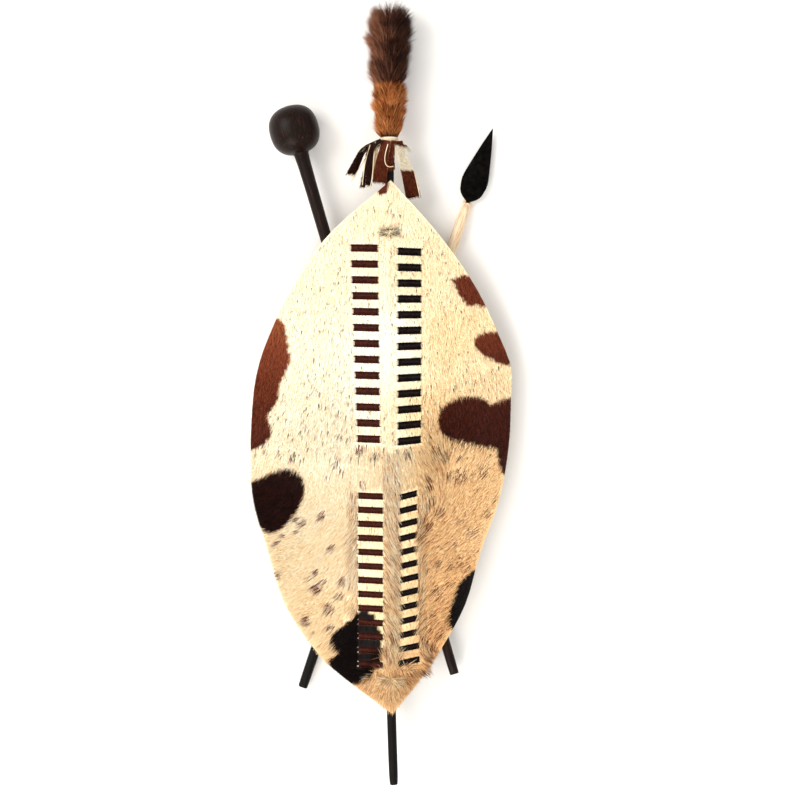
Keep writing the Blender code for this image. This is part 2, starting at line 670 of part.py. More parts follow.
def make_fringe():
    """The collar round the stick and the strips that hang from it over the hide's tip.

    Each path is in millimetres: right of the stick, up from the hide's tip, and in front of the stick."""
    collar_top = TAIL_GINGER_START - GAP
    shape = ((0.0, COLLAR_RADIUS * 0.94), (0.5, COLLAR_RADIUS), (1.0, COLLAR_RADIUS * 0.94))
    sleeve("fringe_collar", TIP_Y + collar_top - COLLAR_HEIGHT, COLLAR_HEIGHT, shape, pale_hair, blind=False)
    root = 1000 * (collar_top - COLLAR_HEIGHT / 2)
    out = 1000 * (COLLAR_RADIUS + FRINGE_THICKNESS / 2 + GAP)
    on_hide = 1000 * (RIDGE_Z - STICK_Z + HIDE_THICKNESS + FRINGE_THICKNESS + GAP)
    # Name, widths at the root and the end in millimetres, rolls there in degrees, finish, path
    strips = (
        ("fringe_outer_left", (8, 12), (-75, -38), dark_hair,
         ((-12.5, root, -1.5), (-29, 36.5, 0), (-36, 24.5, 0), (-44.5, 6, -1))),
        ("fringe_left_thin", (4, 5), (50, -30), dark_hair,
         ((-13, root - 3, 5.2), (-22.5, 38, 8.5), (-25.5, 20, 9), (-30.5, -8, 8))),
        ("fringe_left_black", (5.5, 7.5), (34, -10), black_hair,
         ((-9, root - 1, 15.8), (-19, 36, 16), (-22.5, 18, 14.5), (-24, -6, 11.5))),
        ("fringe_inner_left", (4, 6), (40, 10), pale_hair,
         ((-9.4, root - 1, 10.2), (-15, 36, 10), (-16.2, 21, 9.8), (-18.5, 2, 9.5))),
        ("fringe_middle", (9.5, 16.5), (8, -4), brown_hair,
         ((-3.5, root - 1, out + 1.5), (-6, 32, out + 5), (-9.2, 16, out + 5), (-11.2, -3, on_hide + 3))),
        ("fringe_curl", (6, 9), (-10, -10), brown_hair,
         ((4.8, root - 1, out + 1.2), (3.5, 32, out + 1.5), (1.5, 22, out + 1), (2.2, 12, out - 1))),
        ("fringe_right", (9, 17), (-48, 4), brown_hair,
         ((11.2, root - 1, 8.5), (14, 27.5, 7), (20, 11.5, 1), (27.5, -18, -6.5))),
        ("fringe_right_dark", (7, 9), (-80, -60), dark_hair,
         ((13.5, root - 1, 0), (16.5, 42, 0), (19.5, 38, 0), (22.5, 34, -1))),
    )
    for name, widths, rolls, finish, path in strips:
        placed = [(x / 1000, TIP_Y + y / 1000, STICK_Z + z / 1000) for x, y, z in path]
        ribbon(name, placed, [width / 1000 for width in widths], rolls, finish)


def seat_on_origin():
    """Moves the whole set so that the bottom centre of its box is at the origin."""
    bpy.context.view_layer.update()
    graph = bpy.context.evaluated_depsgraph_get()
    low, high = Vector((1e9,) * 3), Vector((-1e9,) * 3)
    for piece in carrier.children:
        if piece.hide_render:
            continue
        shown = piece.evaluated_get(graph)
        for corner in shown.data.vertices:
            place = shown.matrix_world @ corner.co
            low = Vector(map(min, low, place))
            high = Vector(map(max, high, place))
    carrier.location = (-(low.x + high.x) / 2, -(low.y + high.y) / 2, -low.z)


for leftover in list(bpy.data.objects):
    bpy.data.objects.remove(leftover)

carrier = bpy.data.objects.new("shield_set", None)
bpy.context.collection.objects.link(carrier)

hide_hair = material("cream hide with the hair on", (0.83, 0.72, 0.49), 0.75)
brown_hair = material("brown hide with the hair on", (0.12, 0.035, 0.015), 0.7)
dark_hair = material("dark hide with the hair on", (0.045, 0.018, 0.010), 0.7)
black_hair = material("black hide with the hair on", (0.012, 0.009, 0.008), 0.7)
pale_hair = material("white hide with the hair on", (0.80, 0.72, 0.60), 0.75)
ginger_fur = material("ginger fur", (0.34, 0.10, 0.03), 0.7)
dark_fur = material("dark brown fur", (0.05, 0.02, 0.012), 0.7)
leather = material("tan leather thong", (0.22, 0.12, 0.06), 0.6)
black_wood = material("blackened wood", (0.012, 0.010, 0.009), 0.55)
dark_wood = material("dark stained wood", (0.045, 0.025, 0.018), 0.5)
pale_wood = material("peeled pale wood", (0.72, 0.52, 0.36), 0.6)
black_iron = material("blackened iron", (0.01, 0.01, 0.01), 0.45, 0.8)

make_hide()
for woven_column, strip_finish in zip(WOVEN, (brown_hair, black_hair, brown_hair, black_hair)):
    make_strip(woven_column, strip_finish)
make_stick()
for tie, tie_share in TIE_SHARES:
    make_tie(tie, tie_share)
make_spear_shaft()
make_spear_blade()
make_club()
make_weapon_loop()
sleeve("tail_ginger", TIP_Y + TAIL_GINGER_START, TAIL_GINGER_LENGTH, GINGER_SHAPE, ginger_fur, blind=False)
dark_start = TIP_Y + TAIL_GINGER_START + TAIL_GINGER_LENGTH + GAP
sleeve("tail_dark", dark_start, TAIL_DARK_LENGTH, DARK_SHAPE, dark_fur, blind=True)
make_fringe()
seat_on_origin()
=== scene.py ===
# %% [markdown]
# # A hide shield, lying face up
#
# The object is a small shield cut from one cowhide. Two strips of dark leather are laced up and down
# through each half of it, a black stick runs up its back and carries a fur tail, and a knobbed club
# and a short spear are crossed behind it. The frame holds its solid parts. This script dresses them:
# it grows the coat, the tail and the strips' short hair, and gives wood, iron and leather their finish.

# %% The frame, and the box that it fills
import math

import bmesh
import bpy
import numpy as np
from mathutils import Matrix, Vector


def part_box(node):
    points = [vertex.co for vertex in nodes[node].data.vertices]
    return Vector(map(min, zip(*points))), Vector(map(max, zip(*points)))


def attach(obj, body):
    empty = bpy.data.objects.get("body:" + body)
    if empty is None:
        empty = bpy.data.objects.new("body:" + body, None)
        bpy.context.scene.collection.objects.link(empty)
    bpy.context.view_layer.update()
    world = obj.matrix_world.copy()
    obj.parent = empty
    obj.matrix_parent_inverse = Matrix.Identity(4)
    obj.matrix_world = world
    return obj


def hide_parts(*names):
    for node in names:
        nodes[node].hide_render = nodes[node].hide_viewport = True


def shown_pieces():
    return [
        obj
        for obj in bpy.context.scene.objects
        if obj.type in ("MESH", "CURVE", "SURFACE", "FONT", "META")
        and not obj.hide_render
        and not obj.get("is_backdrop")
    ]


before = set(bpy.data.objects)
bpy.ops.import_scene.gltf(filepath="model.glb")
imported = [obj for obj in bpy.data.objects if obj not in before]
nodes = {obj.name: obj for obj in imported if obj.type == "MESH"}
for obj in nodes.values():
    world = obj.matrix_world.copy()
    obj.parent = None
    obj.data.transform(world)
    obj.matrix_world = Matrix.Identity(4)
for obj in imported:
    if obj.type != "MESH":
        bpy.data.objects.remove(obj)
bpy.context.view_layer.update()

MM = 0.001
print("pieces in the frame:", len(nodes))

# %% [markdown]
# ## One measure for all the steps
#
# The photograph was measured in its own pixels, from the axis of the stick and from the hide's lower
# tip. The tip is found in the frame here and the stick's axis is given as a number, so that a place
# on the hide can be written as millimetres to the right of the stick and millimetres above the tip.

# %% Where the stick and the hide's tip are
MM_PER_PIXEL = 1.15
STICK_COLUMN = 389.5  # of the photograph
TIP_ROW = 713.0
PHOTO_SIZE = 800
STICK_X = 0.00971  # the stick's axis where the weapons cross
hide_low, hide_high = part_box("hide")
TIP_Y = hide_low.y
WAIST_Y = TIP_Y + 297 * MM  # between the upper and the lower lacing


def from_stick(places):
    """Places in metres, as millimetres right of the stick and up from the hide's lower tip."""
    return (np.asarray(places)[:, :2] - (STICK_X, TIP_Y)) / MM


print(f"hide {(hide_high.x - hide_low.x) / MM:.1f} by {(hide_high.y - hide_low.y) / MM:.1f} mm")

# %% [markdown]
# ## Camera, floor and light
#
# The camera looks straight down, as in the photograph, from about two metres with a long lens, so
# that the sides of the club's head and of the tail hardly show. The floor is plain and pale. Two wide
# lamps, one on the left and one beyond the lower tip, and a bright even sky give the soft shadows.

# %% A camera straight above
SENSOR = 36.0
LENS = 85.0
MIDDLE_HEIGHT = 0.035  # the level at which a pixel is one MM_PER_PIXEL wide
half_photo = PHOTO_SIZE / 2
seen_width = PHOTO_SIZE * MM_PER_PIXEL * MM
camera_data = bpy.data.cameras.new("camera")
camera_data.lens = LENS
camera_data.sensor_width = SENSOR
camera = bpy.data.objects.new("camera", camera_data)
camera.location = (
    STICK_X + (half_photo - STICK_COLUMN) * MM_PER_PIXEL * MM,
    TIP_Y + (TIP_ROW - half_photo) * MM_PER_PIXEL * MM,
    MIDDLE_HEIGHT + seen_width * LENS / SENSOR,
)
bpy.context.scene.collection.objects.link(camera)
bpy.context.scene.camera = camera
print("camera at", [round(value, 3) for value in camera.location])


# %% Colours and shader nodes
def linear(code):
    """A colour such as '#c08040' as the four numbers that Blender's sockets take."""
    parts = [int(code[i : i + 2], 16) / 255 for i in (1, 3, 5)]
    bright = [p / 12.92 if p <= 0.04045 else ((p + 0.055) / 1.055) ** 2.4 for p in parts]
    return (*bright, 1.0)


def add(tree, kind, links=(), **settings):
    """Adds a node. settings are its own options; links are the values or sockets for its inputs."""
    made = tree.nodes.new(kind)
    for name, value in settings.items():
        setattr(made, name, value)
    for place, value in dict(links).items():
        if isinstance(value, bpy.types.NodeSocket):
            tree.links.new(value, made.inputs[place])
        else:
            made.inputs[place].default_value = value
    return made


def new_finish(name, **values):
    """A material with a plain shader: its tree and the shader, with these values on its sockets."""
    material = bpy.data.materials.new(name)
    material.use_nodes = True
    tree = material.node_tree
    shader = tree.nodes["Principled BSDF"]
    for title, value in values.items():
        shader.inputs[title.replace("_", " ")].default_value = value
    return material, tree, shader


def shade_stops(ramp, stops):
    """Gives a colour ramp these colours, each at its place from 0 to 1."""
    elements = ramp.color_ramp.elements
    while len(elements) < len(stops):
        elements.new(0.5)
    for element, (place, code) in zip(elements, stops):
        element.position = place
        element.color = linear(code)


# %% Floor and lamps
FLOOR_HALF = 6.0
floor_mesh = bpy.data.meshes.new("floor")
floor_corners = [(x * FLOOR_HALF, y * FLOOR_HALF, 0) for x, y in ((-1, -1), (1, -1), (1, 1), (-1, 1))]
floor_mesh.from_pydata(floor_corners, [], [(0, 1, 2, 3)])
floor = bpy.data.objects.new("floor", floor_mesh)
bpy.context.scene.collection.objects.link(floor)
# Painted board, rolled matt: an even white without a highlight
white_board, _, _ = new_finish("white_board", Base_Color=linear("#f7f6f5"), Roughness=0.9)
floor_mesh.materials.append(white_board)
floor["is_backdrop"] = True

world = bpy.data.worlds.new("studio")
world.use_nodes = True
bpy.context.scene.world = world
sky = world.node_tree.nodes["Background"]
sky.inputs["Color"].default_value = linear("#fffdfa")
sky.inputs["Strength"].default_value = 0.92

LAMP_AIM = Vector((0, 0, 0.03))  # the middle of the hide


def add_lamp(name, place, size, watts, colour):
    """A square lamp that looks at the middle of the hide."""
    data = bpy.data.lights.new(name, "AREA")
    data.size = size
    data.energy = watts
    data.color = linear(colour)[:3]
    lamp = bpy.data.objects.new(name, data)
    lamp.location = place
    aim = LAMP_AIM - lamp.location
    lamp.rotation_euler = aim.to_track_quat("-Z", "Y").to_euler()
    bpy.context.scene.collection.objects.link(lamp)


add_lamp("left_lamp", (-1.5, 0.7, 1.7), 1.2, 32.0, "#fffaf2")
add_lamp("lower_lamp", (-0.7, -1.7, 1.5), 1.4, 33.0, "#fffaf2")
bpy.context.scene.view_settings.view_transform = "Standard"

# %% [markdown]
# ## Hair as geometry
#
# A cow's coat is a mass of separate hairs that all lie one way. A painted pattern would be flat at the
# edges of the colour patches, where the hairs of one colour lie over the other. So each hair here is a
# thin closed spike, placed by Geometry Nodes: points are scattered on a skin, and each point gets one
# spike, turned along the `flow` that the skin carries as an attribute. The same tree grows the coat,
# the strips' short hair and the tail. Every hair keeps its root's place and one chance number, and its
# colour is worked out from those afterwards.


# %% The tree that grows hair
HAIR_INPUTS = (
    ("Strands", "NodeSocketFloat"),  # for each square metre
    ("Length", "NodeSocketFloat"),
    ("Width", "NodeSocketFloat"),
    ("Lift", "NodeSocketFloat"),  # how far the hair stands up, as a slope
    ("Scatter", "NodeSocketFloat"),  # how far hairs stray from the flow, as a slope
    ("Bend", "NodeSocketFloat"),  # how far the tip comes back down, as a share of the length
    ("Segments", "NodeSocketInt"),
    ("Side", "NodeSocketFloat"),  # 1 keeps the hairs right of the stick, -1 the others, 0 all
    ("Half", "NodeSocketFloat"),  # 1 keeps the hairs above the waist, -1 those below, 0 all
    ("Seed", "NodeSocketInt"),
    ("Finish", "NodeSocketMaterial"),
)


def new_tree(name, inputs):
    """An empty tree for a modifier, with its group input and output."""
    tree = bpy.data.node_groups.new(name, "GeometryNodeTree")
    tree.interface.new_socket("Geometry", in_out="OUTPUT", socket_type="NodeSocketGeometry")
    tree.interface.new_socket("Geometry", in_out="INPUT", socket_type="NodeSocketGeometry")
    for title, kind in inputs:
        tree.interface.new_socket(title, in_out="INPUT", socket_type=kind)
    return tree, add(tree, "NodeGroupInput").outputs, add(tree, "NodeGroupOutput")


LIFT_SPREAD = (0.4, 1.6)  # the least and the most of one hair's lift, as a share of Lift
LENGTH_SPREAD = (0.65, 1.15)
# What each number of a hair is called, and the two that it is made of
HAIR_NUMBERS = (
    ("past the stick", "SUBTRACT", "X", STICK_X),
    ("past the waist", "SUBTRACT", "Y", WAIST_Y),
    ("on its side", "MULTIPLY", "past the stick", "Side"),
    ("on its half", "MULTIPLY", "past the waist", "Half"),
    ("stray seed", "ADD", "Seed", 2),
    ("slope", "MULTIPLY", "Lift", "rise"),
    ("share wide", "DIVIDE", "Width", "Length"),
    ("radius", "DIVIDE", "share wide", 2.0),
    ("squared", "MULTIPLY", "Z", "Z"),
    ("fall", "MULTIPLY", "Bend", -1.0),
    ("sag", "MULTIPLY", "squared", "fall"),
    ("own share", "MULTIPLY", "reach", "growth"),
    ("own length", "MULTIPLY", "Length", "own share"),
)


def hair_tree():
    """Points on the host's haired faces, and on each point a spike that is turned along the flow."""
    tree, given, out = new_tree("hair", HAIR_INPUTS)
    place = add(tree, "GeometryNodeInputPosition").outputs[0]
    parts = add(tree, "ShaderNodeSeparateXYZ", {0: place}).outputs
    reach = add(tree, "GeometryNodeInputNamedAttribute", {"Name": "reach"}, data_type="FLOAT").outputs[0]
    known = {name: given[name] for name, _ in HAIR_INPUTS}
    known.update({"X": parts["X"], "Y": parts["Y"], "Z": parts["Z"], "reach": reach})
    # Each draw adds a number of its own to the seed, so that no two follow each other
    for result, salt, least, most in (
        ("chance", 1, 0.0, 1.0),
        ("rise", 3, *LIFT_SPREAD),
        ("growth", 4, *LENGTH_SPREAD),
    ):
        salted = add(tree, "ShaderNodeMath", {0: given["Seed"], 1: salt}, operation="ADD").outputs[0]
        random = add(tree, "FunctionNodeRandomValue", {2: least, 3: most, "Seed": salted})
        known[result] = random.outputs[1]
    for result, operation, first, second in HAIR_NUMBERS:
        terms = {0: known.get(first, first), 1: known.get(second, second)}
        known[result] = add(tree, "ShaderNodeMath", terms, operation=operation).outputs[0]

    haired = add(tree, "GeometryNodeInputNamedAttribute", {"Name": "haired"}, data_type="BOOLEAN")
    roots = add(
        tree,
        "GeometryNodeDistributePointsOnFaces",
        {
            "Mesh": given["Geometry"],
            "Selection": haired.outputs[0],
            "Density": given["Strands"],
            "Seed": given["Seed"],
        },
    )
    kept = roots
    for side in ("on its side", "on its half"):
        unwanted = add(
            tree, "FunctionNodeCompare", {0: known[side], 1: 0.0}, operation="LESS_THAN"
        ).outputs[0]
        kept = add(
            tree, "GeometryNodeDeleteGeometry", {"Geometry": kept.outputs[0], "Selection": unwanted}
        )
    for title, value, kind in (("root", place, "FLOAT_VECTOR"), ("chance", known["chance"], "FLOAT")):
        links = {"Geometry": kept.outputs[0], "Name": title, "Value": value}
        kept = add(tree, "GeometryNodeStoreNamedAttribute", links, data_type=kind)

    # The direction is the flow, then some stray, then some lift
    flow = add(tree, "GeometryNodeInputNamedAttribute", {"Name": "flow"}, data_type="FLOAT_VECTOR")
    stray = add(
        tree,
        "FunctionNodeRandomValue",
        {0: (-1.0, -1.0, -1.0), 1: (1.0, 1.0, 1.0), "Seed": known["stray seed"]},
        data_type="FLOAT_VECTOR",
    )
    way = add(tree, "ShaderNodeVectorMath", {0: flow.outputs[0]}, operation="NORMALIZE").outputs[0]
    asides = ((stray.outputs[0], given["Scatter"]), (roots.outputs["Normal"], known["slope"]))
    for aside, slope in asides:
        slopes = add(tree, "ShaderNodeCombineXYZ", {0: slope, 1: slope, 2: slope}).outputs[0]
        way = add(
            tree, "ShaderNodeVectorMath", {0: aside, 1: slopes, 2: way}, operation="MULTIPLY_ADD"
        ).outputs[0]
    turn = add(
        tree,
        "FunctionNodeAxesToRotation",
        {"Primary Axis": way, "Secondary Axis": roots.outputs["Normal"]},
        primary_axis="Z",
        secondary_axis="X",
    )

    # One spike of length 1, thin and closed, whose tip comes down
    spike = add(
        tree,
        "GeometryNodeMeshCone",
        {
            "Vertices": 3,
            "Side Segments": given["Segments"],
            "Radius Top": 0.0,
            "Radius Bottom": known["radius"],
            "Depth": 1.0,
        },
    )
    measured = add(
        tree,
        "GeometryNodeStoreNamedAttribute",
        {"Geometry": spike.outputs["Mesh"], "Name": "along", "Value": parts["Z"]},
        data_type="FLOAT",
    )
    offset = add(tree, "ShaderNodeCombineXYZ", {0: known["sag"]}).outputs[0]
    bent = add(tree, "GeometryNodeSetPosition", {"Geometry": measured.outputs[0], "Offset": offset})

    planted = add(
        tree,
        "GeometryNodeInstanceOnPoints",
        {
            "Points": kept.outputs[0],
            "Instance": bent.outputs[0],
            "Rotation": turn.outputs[0],
            "Scale": known["own length"],
        },
    )
    real = add(tree, "GeometryNodeRealizeInstances", {0: planted.outputs[0]})
    smooth = add(tree, "GeometryNodeSetShadeSmooth", {"Geometry": real.outputs[0]})
    clothed = add(
        tree, "GeometryNodeSetMaterial", {"Geometry": smooth.outputs[0], "Material": given["Finish"]}
    )
    tree.links.new(clothed.outputs[0], out.inputs[0])
    return tree


HAIR = hair_tree()
print("hair tree:", len(HAIR.nodes), "nodes")


# %% Running a tree on a host mesh
def realised(host, tree, name, **inputs):
    """The plain mesh that the tree makes from the host, as a new object."""
    modifier = host.modifiers.new("grow", "NODES")
    modifier.node_group = tree
    for item in tree.interface.items_tree:
        if item.in_out == "INPUT" and item.name in inputs:
            modifier[item.identifier] = inputs[item.name]
    bpy.context.view_layer.update()
    depsgraph = bpy.context.evaluated_depsgraph_get()
    mesh = bpy.data.meshes.new_from_object(
        host.evaluated_get(depsgraph), preserve_all_data_layers=True, depsgraph=depsgraph
    )
    host.modifiers.remove(modifier)
    mesh.name = name
    made = bpy.data.objects.new(name, mesh)
    bpy.context.scene.collection.objects.link(made)
    return made


def read_attribute(mesh, name, width):
    """A mesh attribute as an array."""
    kind = "vector" if width == 3 else "value"
    values = np.empty(len(mesh.vertices) * width, np.float32)
    mesh.attributes[name].data.foreach_get(kind, values)
    return values.reshape(-1, width) if width > 1 else values


def write_attribute(mesh, name, values):
    """An array of numbers, or of vectors, as an attribute of the mesh's vertices."""
    wide = values.ndim == 2
    made = mesh.attributes.new(name, "FLOAT_VECTOR" if wide else "FLOAT", "POINT")
    made.data.foreach_set("vector" if wide else "value", values.astype(np.float32).ravel())


def tint(hair, shade_of):
    """Works out each hair's shade from its root and its chance, and keeps it on the mesh."""
    mesh = hair.data
    shade = np.clip(shade_of(read_attribute(mesh, "root", 3), read_attribute(mesh, "chance", 1)), 0, 1)
    along = read_attribute(mesh, "along", 1)
    write_attribute(mesh, "shade", shade)
    corners = np.empty(len(mesh.loops), np.int32)
    mesh.loops.foreach_get("vertex_index", corners)
    places = np.stack([shade[corners], along[corners]], 1)
    layer = mesh.uv_layers.new(name="OFBake")  # a small map that holds every shade from root to tip
    layer.uv.foreach_set("vector", places.astype(np.float32).ravel())
    for name in ("root", "chance", "flow", "reach"):
        if name in mesh.attributes:
            mesh.attributes.remove(mesh.attributes[name])
    print(hair.name, "faces:", len(mesh.polygons))


def merged_copy(names, name):
    """Frame nodes as one loose mesh whose corners are joined, for work that needs a whole surface."""
    mesh = bmesh.new()
    for node in names:
        mesh.from_mesh(nodes[node].data)
    bmesh.ops.remove_doubles(mesh, verts=mesh.verts[:], dist=0.000002)
    made = bpy.data.objects.new(name, bpy.data.meshes.new(name))
    bpy.context.scene.collection.objects.link(made)
    return made, mesh


def store(made, mesh):
    """Puts the worked mesh into its object."""
    mesh.to_mesh(made.data)
    mesh.free()
    made.data.update()


def make_host(made, haired, ways, spans):
    """Marks the faces that grow hair, and gives the corners the hair's way and its share of length."""
    marks = made.data.attributes.new("haired", "BOOLEAN", "FACE")
    marks.data.foreach_set("value", haired)
    write_attribute(made.data, "flow", ways)
    write_attribute(made.data, "reach", np.broadcast_to(spans, len(ways)))


FACING = 0.3  # an edge is split if a face beside it rises more than this
MOST_ROUNDS = 6  # a few long edges come back in each round, so the rounds are counted


def divide(mesh, longest):
    """Splits the edges of the front that are longer than this, round by round."""
    for _ in range(MOST_ROUNDS):
        mesh.normal_update()
        wide = [
            edge
            for edge in mesh.edges
            if edge.calc_length() > longest and any(face.normal.z > FACING for face in edge.link_faces)
        ]
        if not wide:
            return
        bmesh.ops.subdivide_edges(mesh, edges=wide, cuts=1)
        bmesh.ops.triangulate(mesh, faces=[face for face in mesh.faces if len(face.verts) > 3])


# %% [markdown]
# ## The hide's skin
#
# Under the hair the hide is rawhide: dried skin, pale and a little waxy, which shows at the cut edges,
# in the slits and on the back. The frame's own hide has the right shape, so a copy of it is divided
# finely enough to carry the coat's flow, and it stands for the frame's node.

# %% Rawhide
# Cowhide scraped and dried in a frame: a cream surface, waxy, with darker clouds and a fine grain
HIDE_LENGTH_MM = (hide_high.y - hide_low.y) / MM
rawhide, tree, shader = new_finish("rawhide", Roughness=0.55, Specular_IOR_Level=0.35)
spot = add(tree, "ShaderNodeTexCoord").outputs["Object"]
mottle = add(tree, "ShaderNodeTexNoise", {"Vector": spot, "Scale": 1 / (22 * MM), "Detail": 4.0})
tones = add(tree, "ShaderNodeValToRGB", {"Fac": mottle.outputs["Fac"]})
shade_stops(tones, [(0.35, "#cdb48c"), (0.55, "#e8d6b2"), (0.7, "#f3e7cb")])
tree.links.new(tones.outputs["Color"], shader.inputs["Base Color"])
grain = add(tree, "ShaderNodeTexNoise", {"Vector": spot, "Scale": 1 / (1.6 * MM), "Detail": 5.0})
relief = add(
    tree, "ShaderNodeBump", {"Height": grain.outputs["Fac"], "Strength": 0.5, "Distance": 0.3 * MM}
)
tree.links.new(relief.outputs["Normal"], shader.inputs["Normal"])
print("rawhide:", len(tree.nodes), "nodes")

# %% Where each column of lacing shows
BARS = 13
# Name, shares of the hide's length at the first and last bar, distance of the middle from the stick,
# width, height of one bar, and how far its right end is raised in degrees: at the top and the bottom.
COLUMNS = (
    ("strip_upper_left", (0.873, 0.515), (-29.0, -24.0), (30.0, 25.0), 8.6, (-1.0, -2.0)),
    ("strip_upper_right", (0.866, 0.512), (23.0, 22.8), (26.2, 25.5), 8.8, (-2.0, 6.0)),
    ("strip_lower_left", (0.408, 0.092), (-21.8, -21.8), (27.5, 27.5), 7.4, (-2.0, -3.0)),
    ("strip_lower_right", (0.409, 0.098), (20.5, 22.2), (21.5, 25.0), 7.2, (14.0, 12.0)),
)


def lacing(places):
    """For each place: how far it is above the nearest bar below it, and whether a strip covers it."""
    above = np.full(len(places), 1e3)
    under = np.zeros(len(places), bool)
    for _, shares, middles, widths, bar, tilts in COLUMNS:
        top, bottom = (share * HIDE_LENGTH_MM for share in shares)
        pitch = (top - bottom) / (BARS - 1)
        t = np.clip((top - places[:, 1]) / (top - bottom), -0.1, 1.1)
        beside = places[:, 0] - (middles[0] + t * (middles[1] - middles[0]))
        slope = np.tan(np.radians(tilts[0] + t * (tilts[1] - tilts[0])))
        level = places[:, 1] - beside * slope
        half_width = (widths[0] + t * (widths[1] - widths[0])) / 2
        number = (top - level) / pitch
        nearest = np.clip(np.ceil(number - bar / 2 / pitch), 0, BARS - 1)
        over = level - (top - nearest * pitch) - bar / 2
        within = np.abs(beside) < half_width + 1.0
        fits = within & (over > -bar - 0.5) & (level < top + pitch)
        above = np.where(fits, np.minimum(above, over), above)
        on_bar = np.abs(number - np.round(number)) * pitch < bar / 2 + 0.2
        under |= within & on_bar & (number > -0.5) & (number < BARS - 0.5)
    return above, under


# %% How the coat lies
# Millimetres right of the stick and above the lower tip, the direction of the hair in degrees from
# the right, turning left, and its length in millimetres.
COMBING = (
    (0, 600, -90, 5), (-60, 520, -95, 5), (60, 520, -85, 5), (-120, 430, -100, 5), (110, 430, -80, 5),
    (0, 400, -90, 4), (-150, 350, -110, 6), (130, 350, -80, 6), (0, 320, -90, 6), (-60, 300, -105, 8),
    (-25, 285, -95, 11), (15, 285, -80, 11), (40, 290, -55, 11), (90, 290, -120, 9), (130, 260, -140, 9),
    (-60, 200, -135, 11), (-130, 200, -165, 9), (-60, 110, -130, 10), (-100, 120, -150, 9),
    (0, 240, -72, 13), (3, 180, -56, 14), (3, 120, -56, 14), (2, 60, -72, 13), (60, 200, -140, 11),
    (110, 200, -145, 9), (60, 110, -145, 11), (80, 140, -145, 9), (-25, 30, -135, 12),
    (-45, 45, -150, 11), (0, 15, -90, 12), (25, 30, -50, 12), (40, 50, -35, 11),
)
COMBING_REACH = 16.0
COAT_LENGTH = 10 * MM


def combed(places):
    """The direction of the hair at each place, and its length as a share of COAT_LENGTH."""
    table = np.array(COMBING, float)
    apart = ((places[:, None, :] - table[None, :, :2]) ** 2).sum(2)
    weights = 1 / (apart + COMBING_REACH**2) ** 2
    weights /= weights.sum(1, keepdims=True)
    angles = np.radians(table[:, 2])
    ways = np.stack([weights @ np.cos(angles), weights @ np.sin(angles)], 1)
    ways /= np.linalg.norm(ways, axis=1, keepdims=True)
    return ways, weights @ table[:, 3] * MM / COAT_LENGTH


# %% The skin, with its flow
SKIN_EDGE = 5 * MM
FRONT = 0.5  # a face whose normal rises more than this is on the front
EDGE_ON = 0.3  # a face whose normal rises less than this is on a cut edge
LACED_HALF_WIDTH = 46  # the lacing's cut edges are left out of the rim inside these millimetres
LACED_BOTTOM, LACED_TOP = 45, 545
OVERHANG = -0.6  # millimetres that hair may pass a strip's upper edge; below zero it stops short
skin, mesh = merged_copy(["hide"], "skin")
divide(mesh, SKIN_EDGE)
mesh.normal_update()
centres = from_stick([face.calc_center_median() for face in mesh.faces])
_, covered = lacing(centres)
front = np.array([face.normal.z > FRONT for face in mesh.faces])
upright = np.array([any(abs(face.normal.z) < EDGE_ON for face in vert.link_faces) for vert in mesh.verts])
store(skin, mesh)
corners = np.array([corner.co for corner in skin.data.vertices])
on_hide = from_stick(corners)
ways, lengths = combed(on_hide)
above, _ = lacing(on_hide)
laced = np.abs(on_hide[:, 0]) < LACED_HALF_WIDTH
laced &= (on_hide[:, 1] > LACED_BOTTOM) & (on_hide[:, 1] < LACED_TOP)
rim = on_hide[upright & ~laced]
nearest = np.concatenate([
    ((part[:, None, :] - rim[None, :, :]) ** 2).sum(2).argmin(1) for part in np.array_split(on_hide, 24)
])
outward = rim[nearest] - on_hide
to_rim = np.linalg.norm(outward, axis=1)
facing = (outward * ways).sum(1) / np.maximum(to_rim, 0.3)  # 1 where the hair points straight at the rim
over_rim = np.interp(on_hide[:, 1], (0, 70, 300), (0.6, 0.9, 1.0))  # millimetres of hair past the edge
rim_room = (to_rim + over_rim) / np.clip(facing, 0.25, 1.0)
room = np.minimum(np.maximum(above, 0) + OVERHANG, rim_room)
room = np.clip(room * MM / COAT_LENGTH, 0.08, 10)
flow = np.concatenate([ways, np.zeros((len(ways), 1))], 1)
make_host(skin, front & ~covered, flow, np.minimum(lengths, room))
skin.data.polygons.foreach_set("use_smooth", [False] * len(skin.data.polygons))
print("skin faces:", len(skin.data.polygons), "with hair:", int((front & ~covered).sum()))

# %% [markdown]
# ## The coat's colours
#
# The coat is cream, whiter on the upper left and tan low on the right, with brown and black patches
# that have grown on this animal. Part of that change of tone is painted light and painted shade: the
# left lighter where light falls, the right darker and warmer where shade falls. A patch is an outline
# on the skin, but its border is not a line: each hair has the colour of its root, and lies over its
# neighbours. So an outline of a dozen points is enough, and the hairs feather it. Small dark flecks
# and soft grey spots come from single dark hairs.

# %% Shades of cow hair, from cream to black
COW_HAIR = [
    (0.00, "#fffcef"), (0.15, "#fcf1d6"), (0.30, "#fbe2b4"), (0.45, "#e8b982"), (0.56, "#b26c3c"),
    (0.66, "#76331a"), (0.78, "#42170c"), (0.90, "#170704"), (1.00, "#040101"),
]


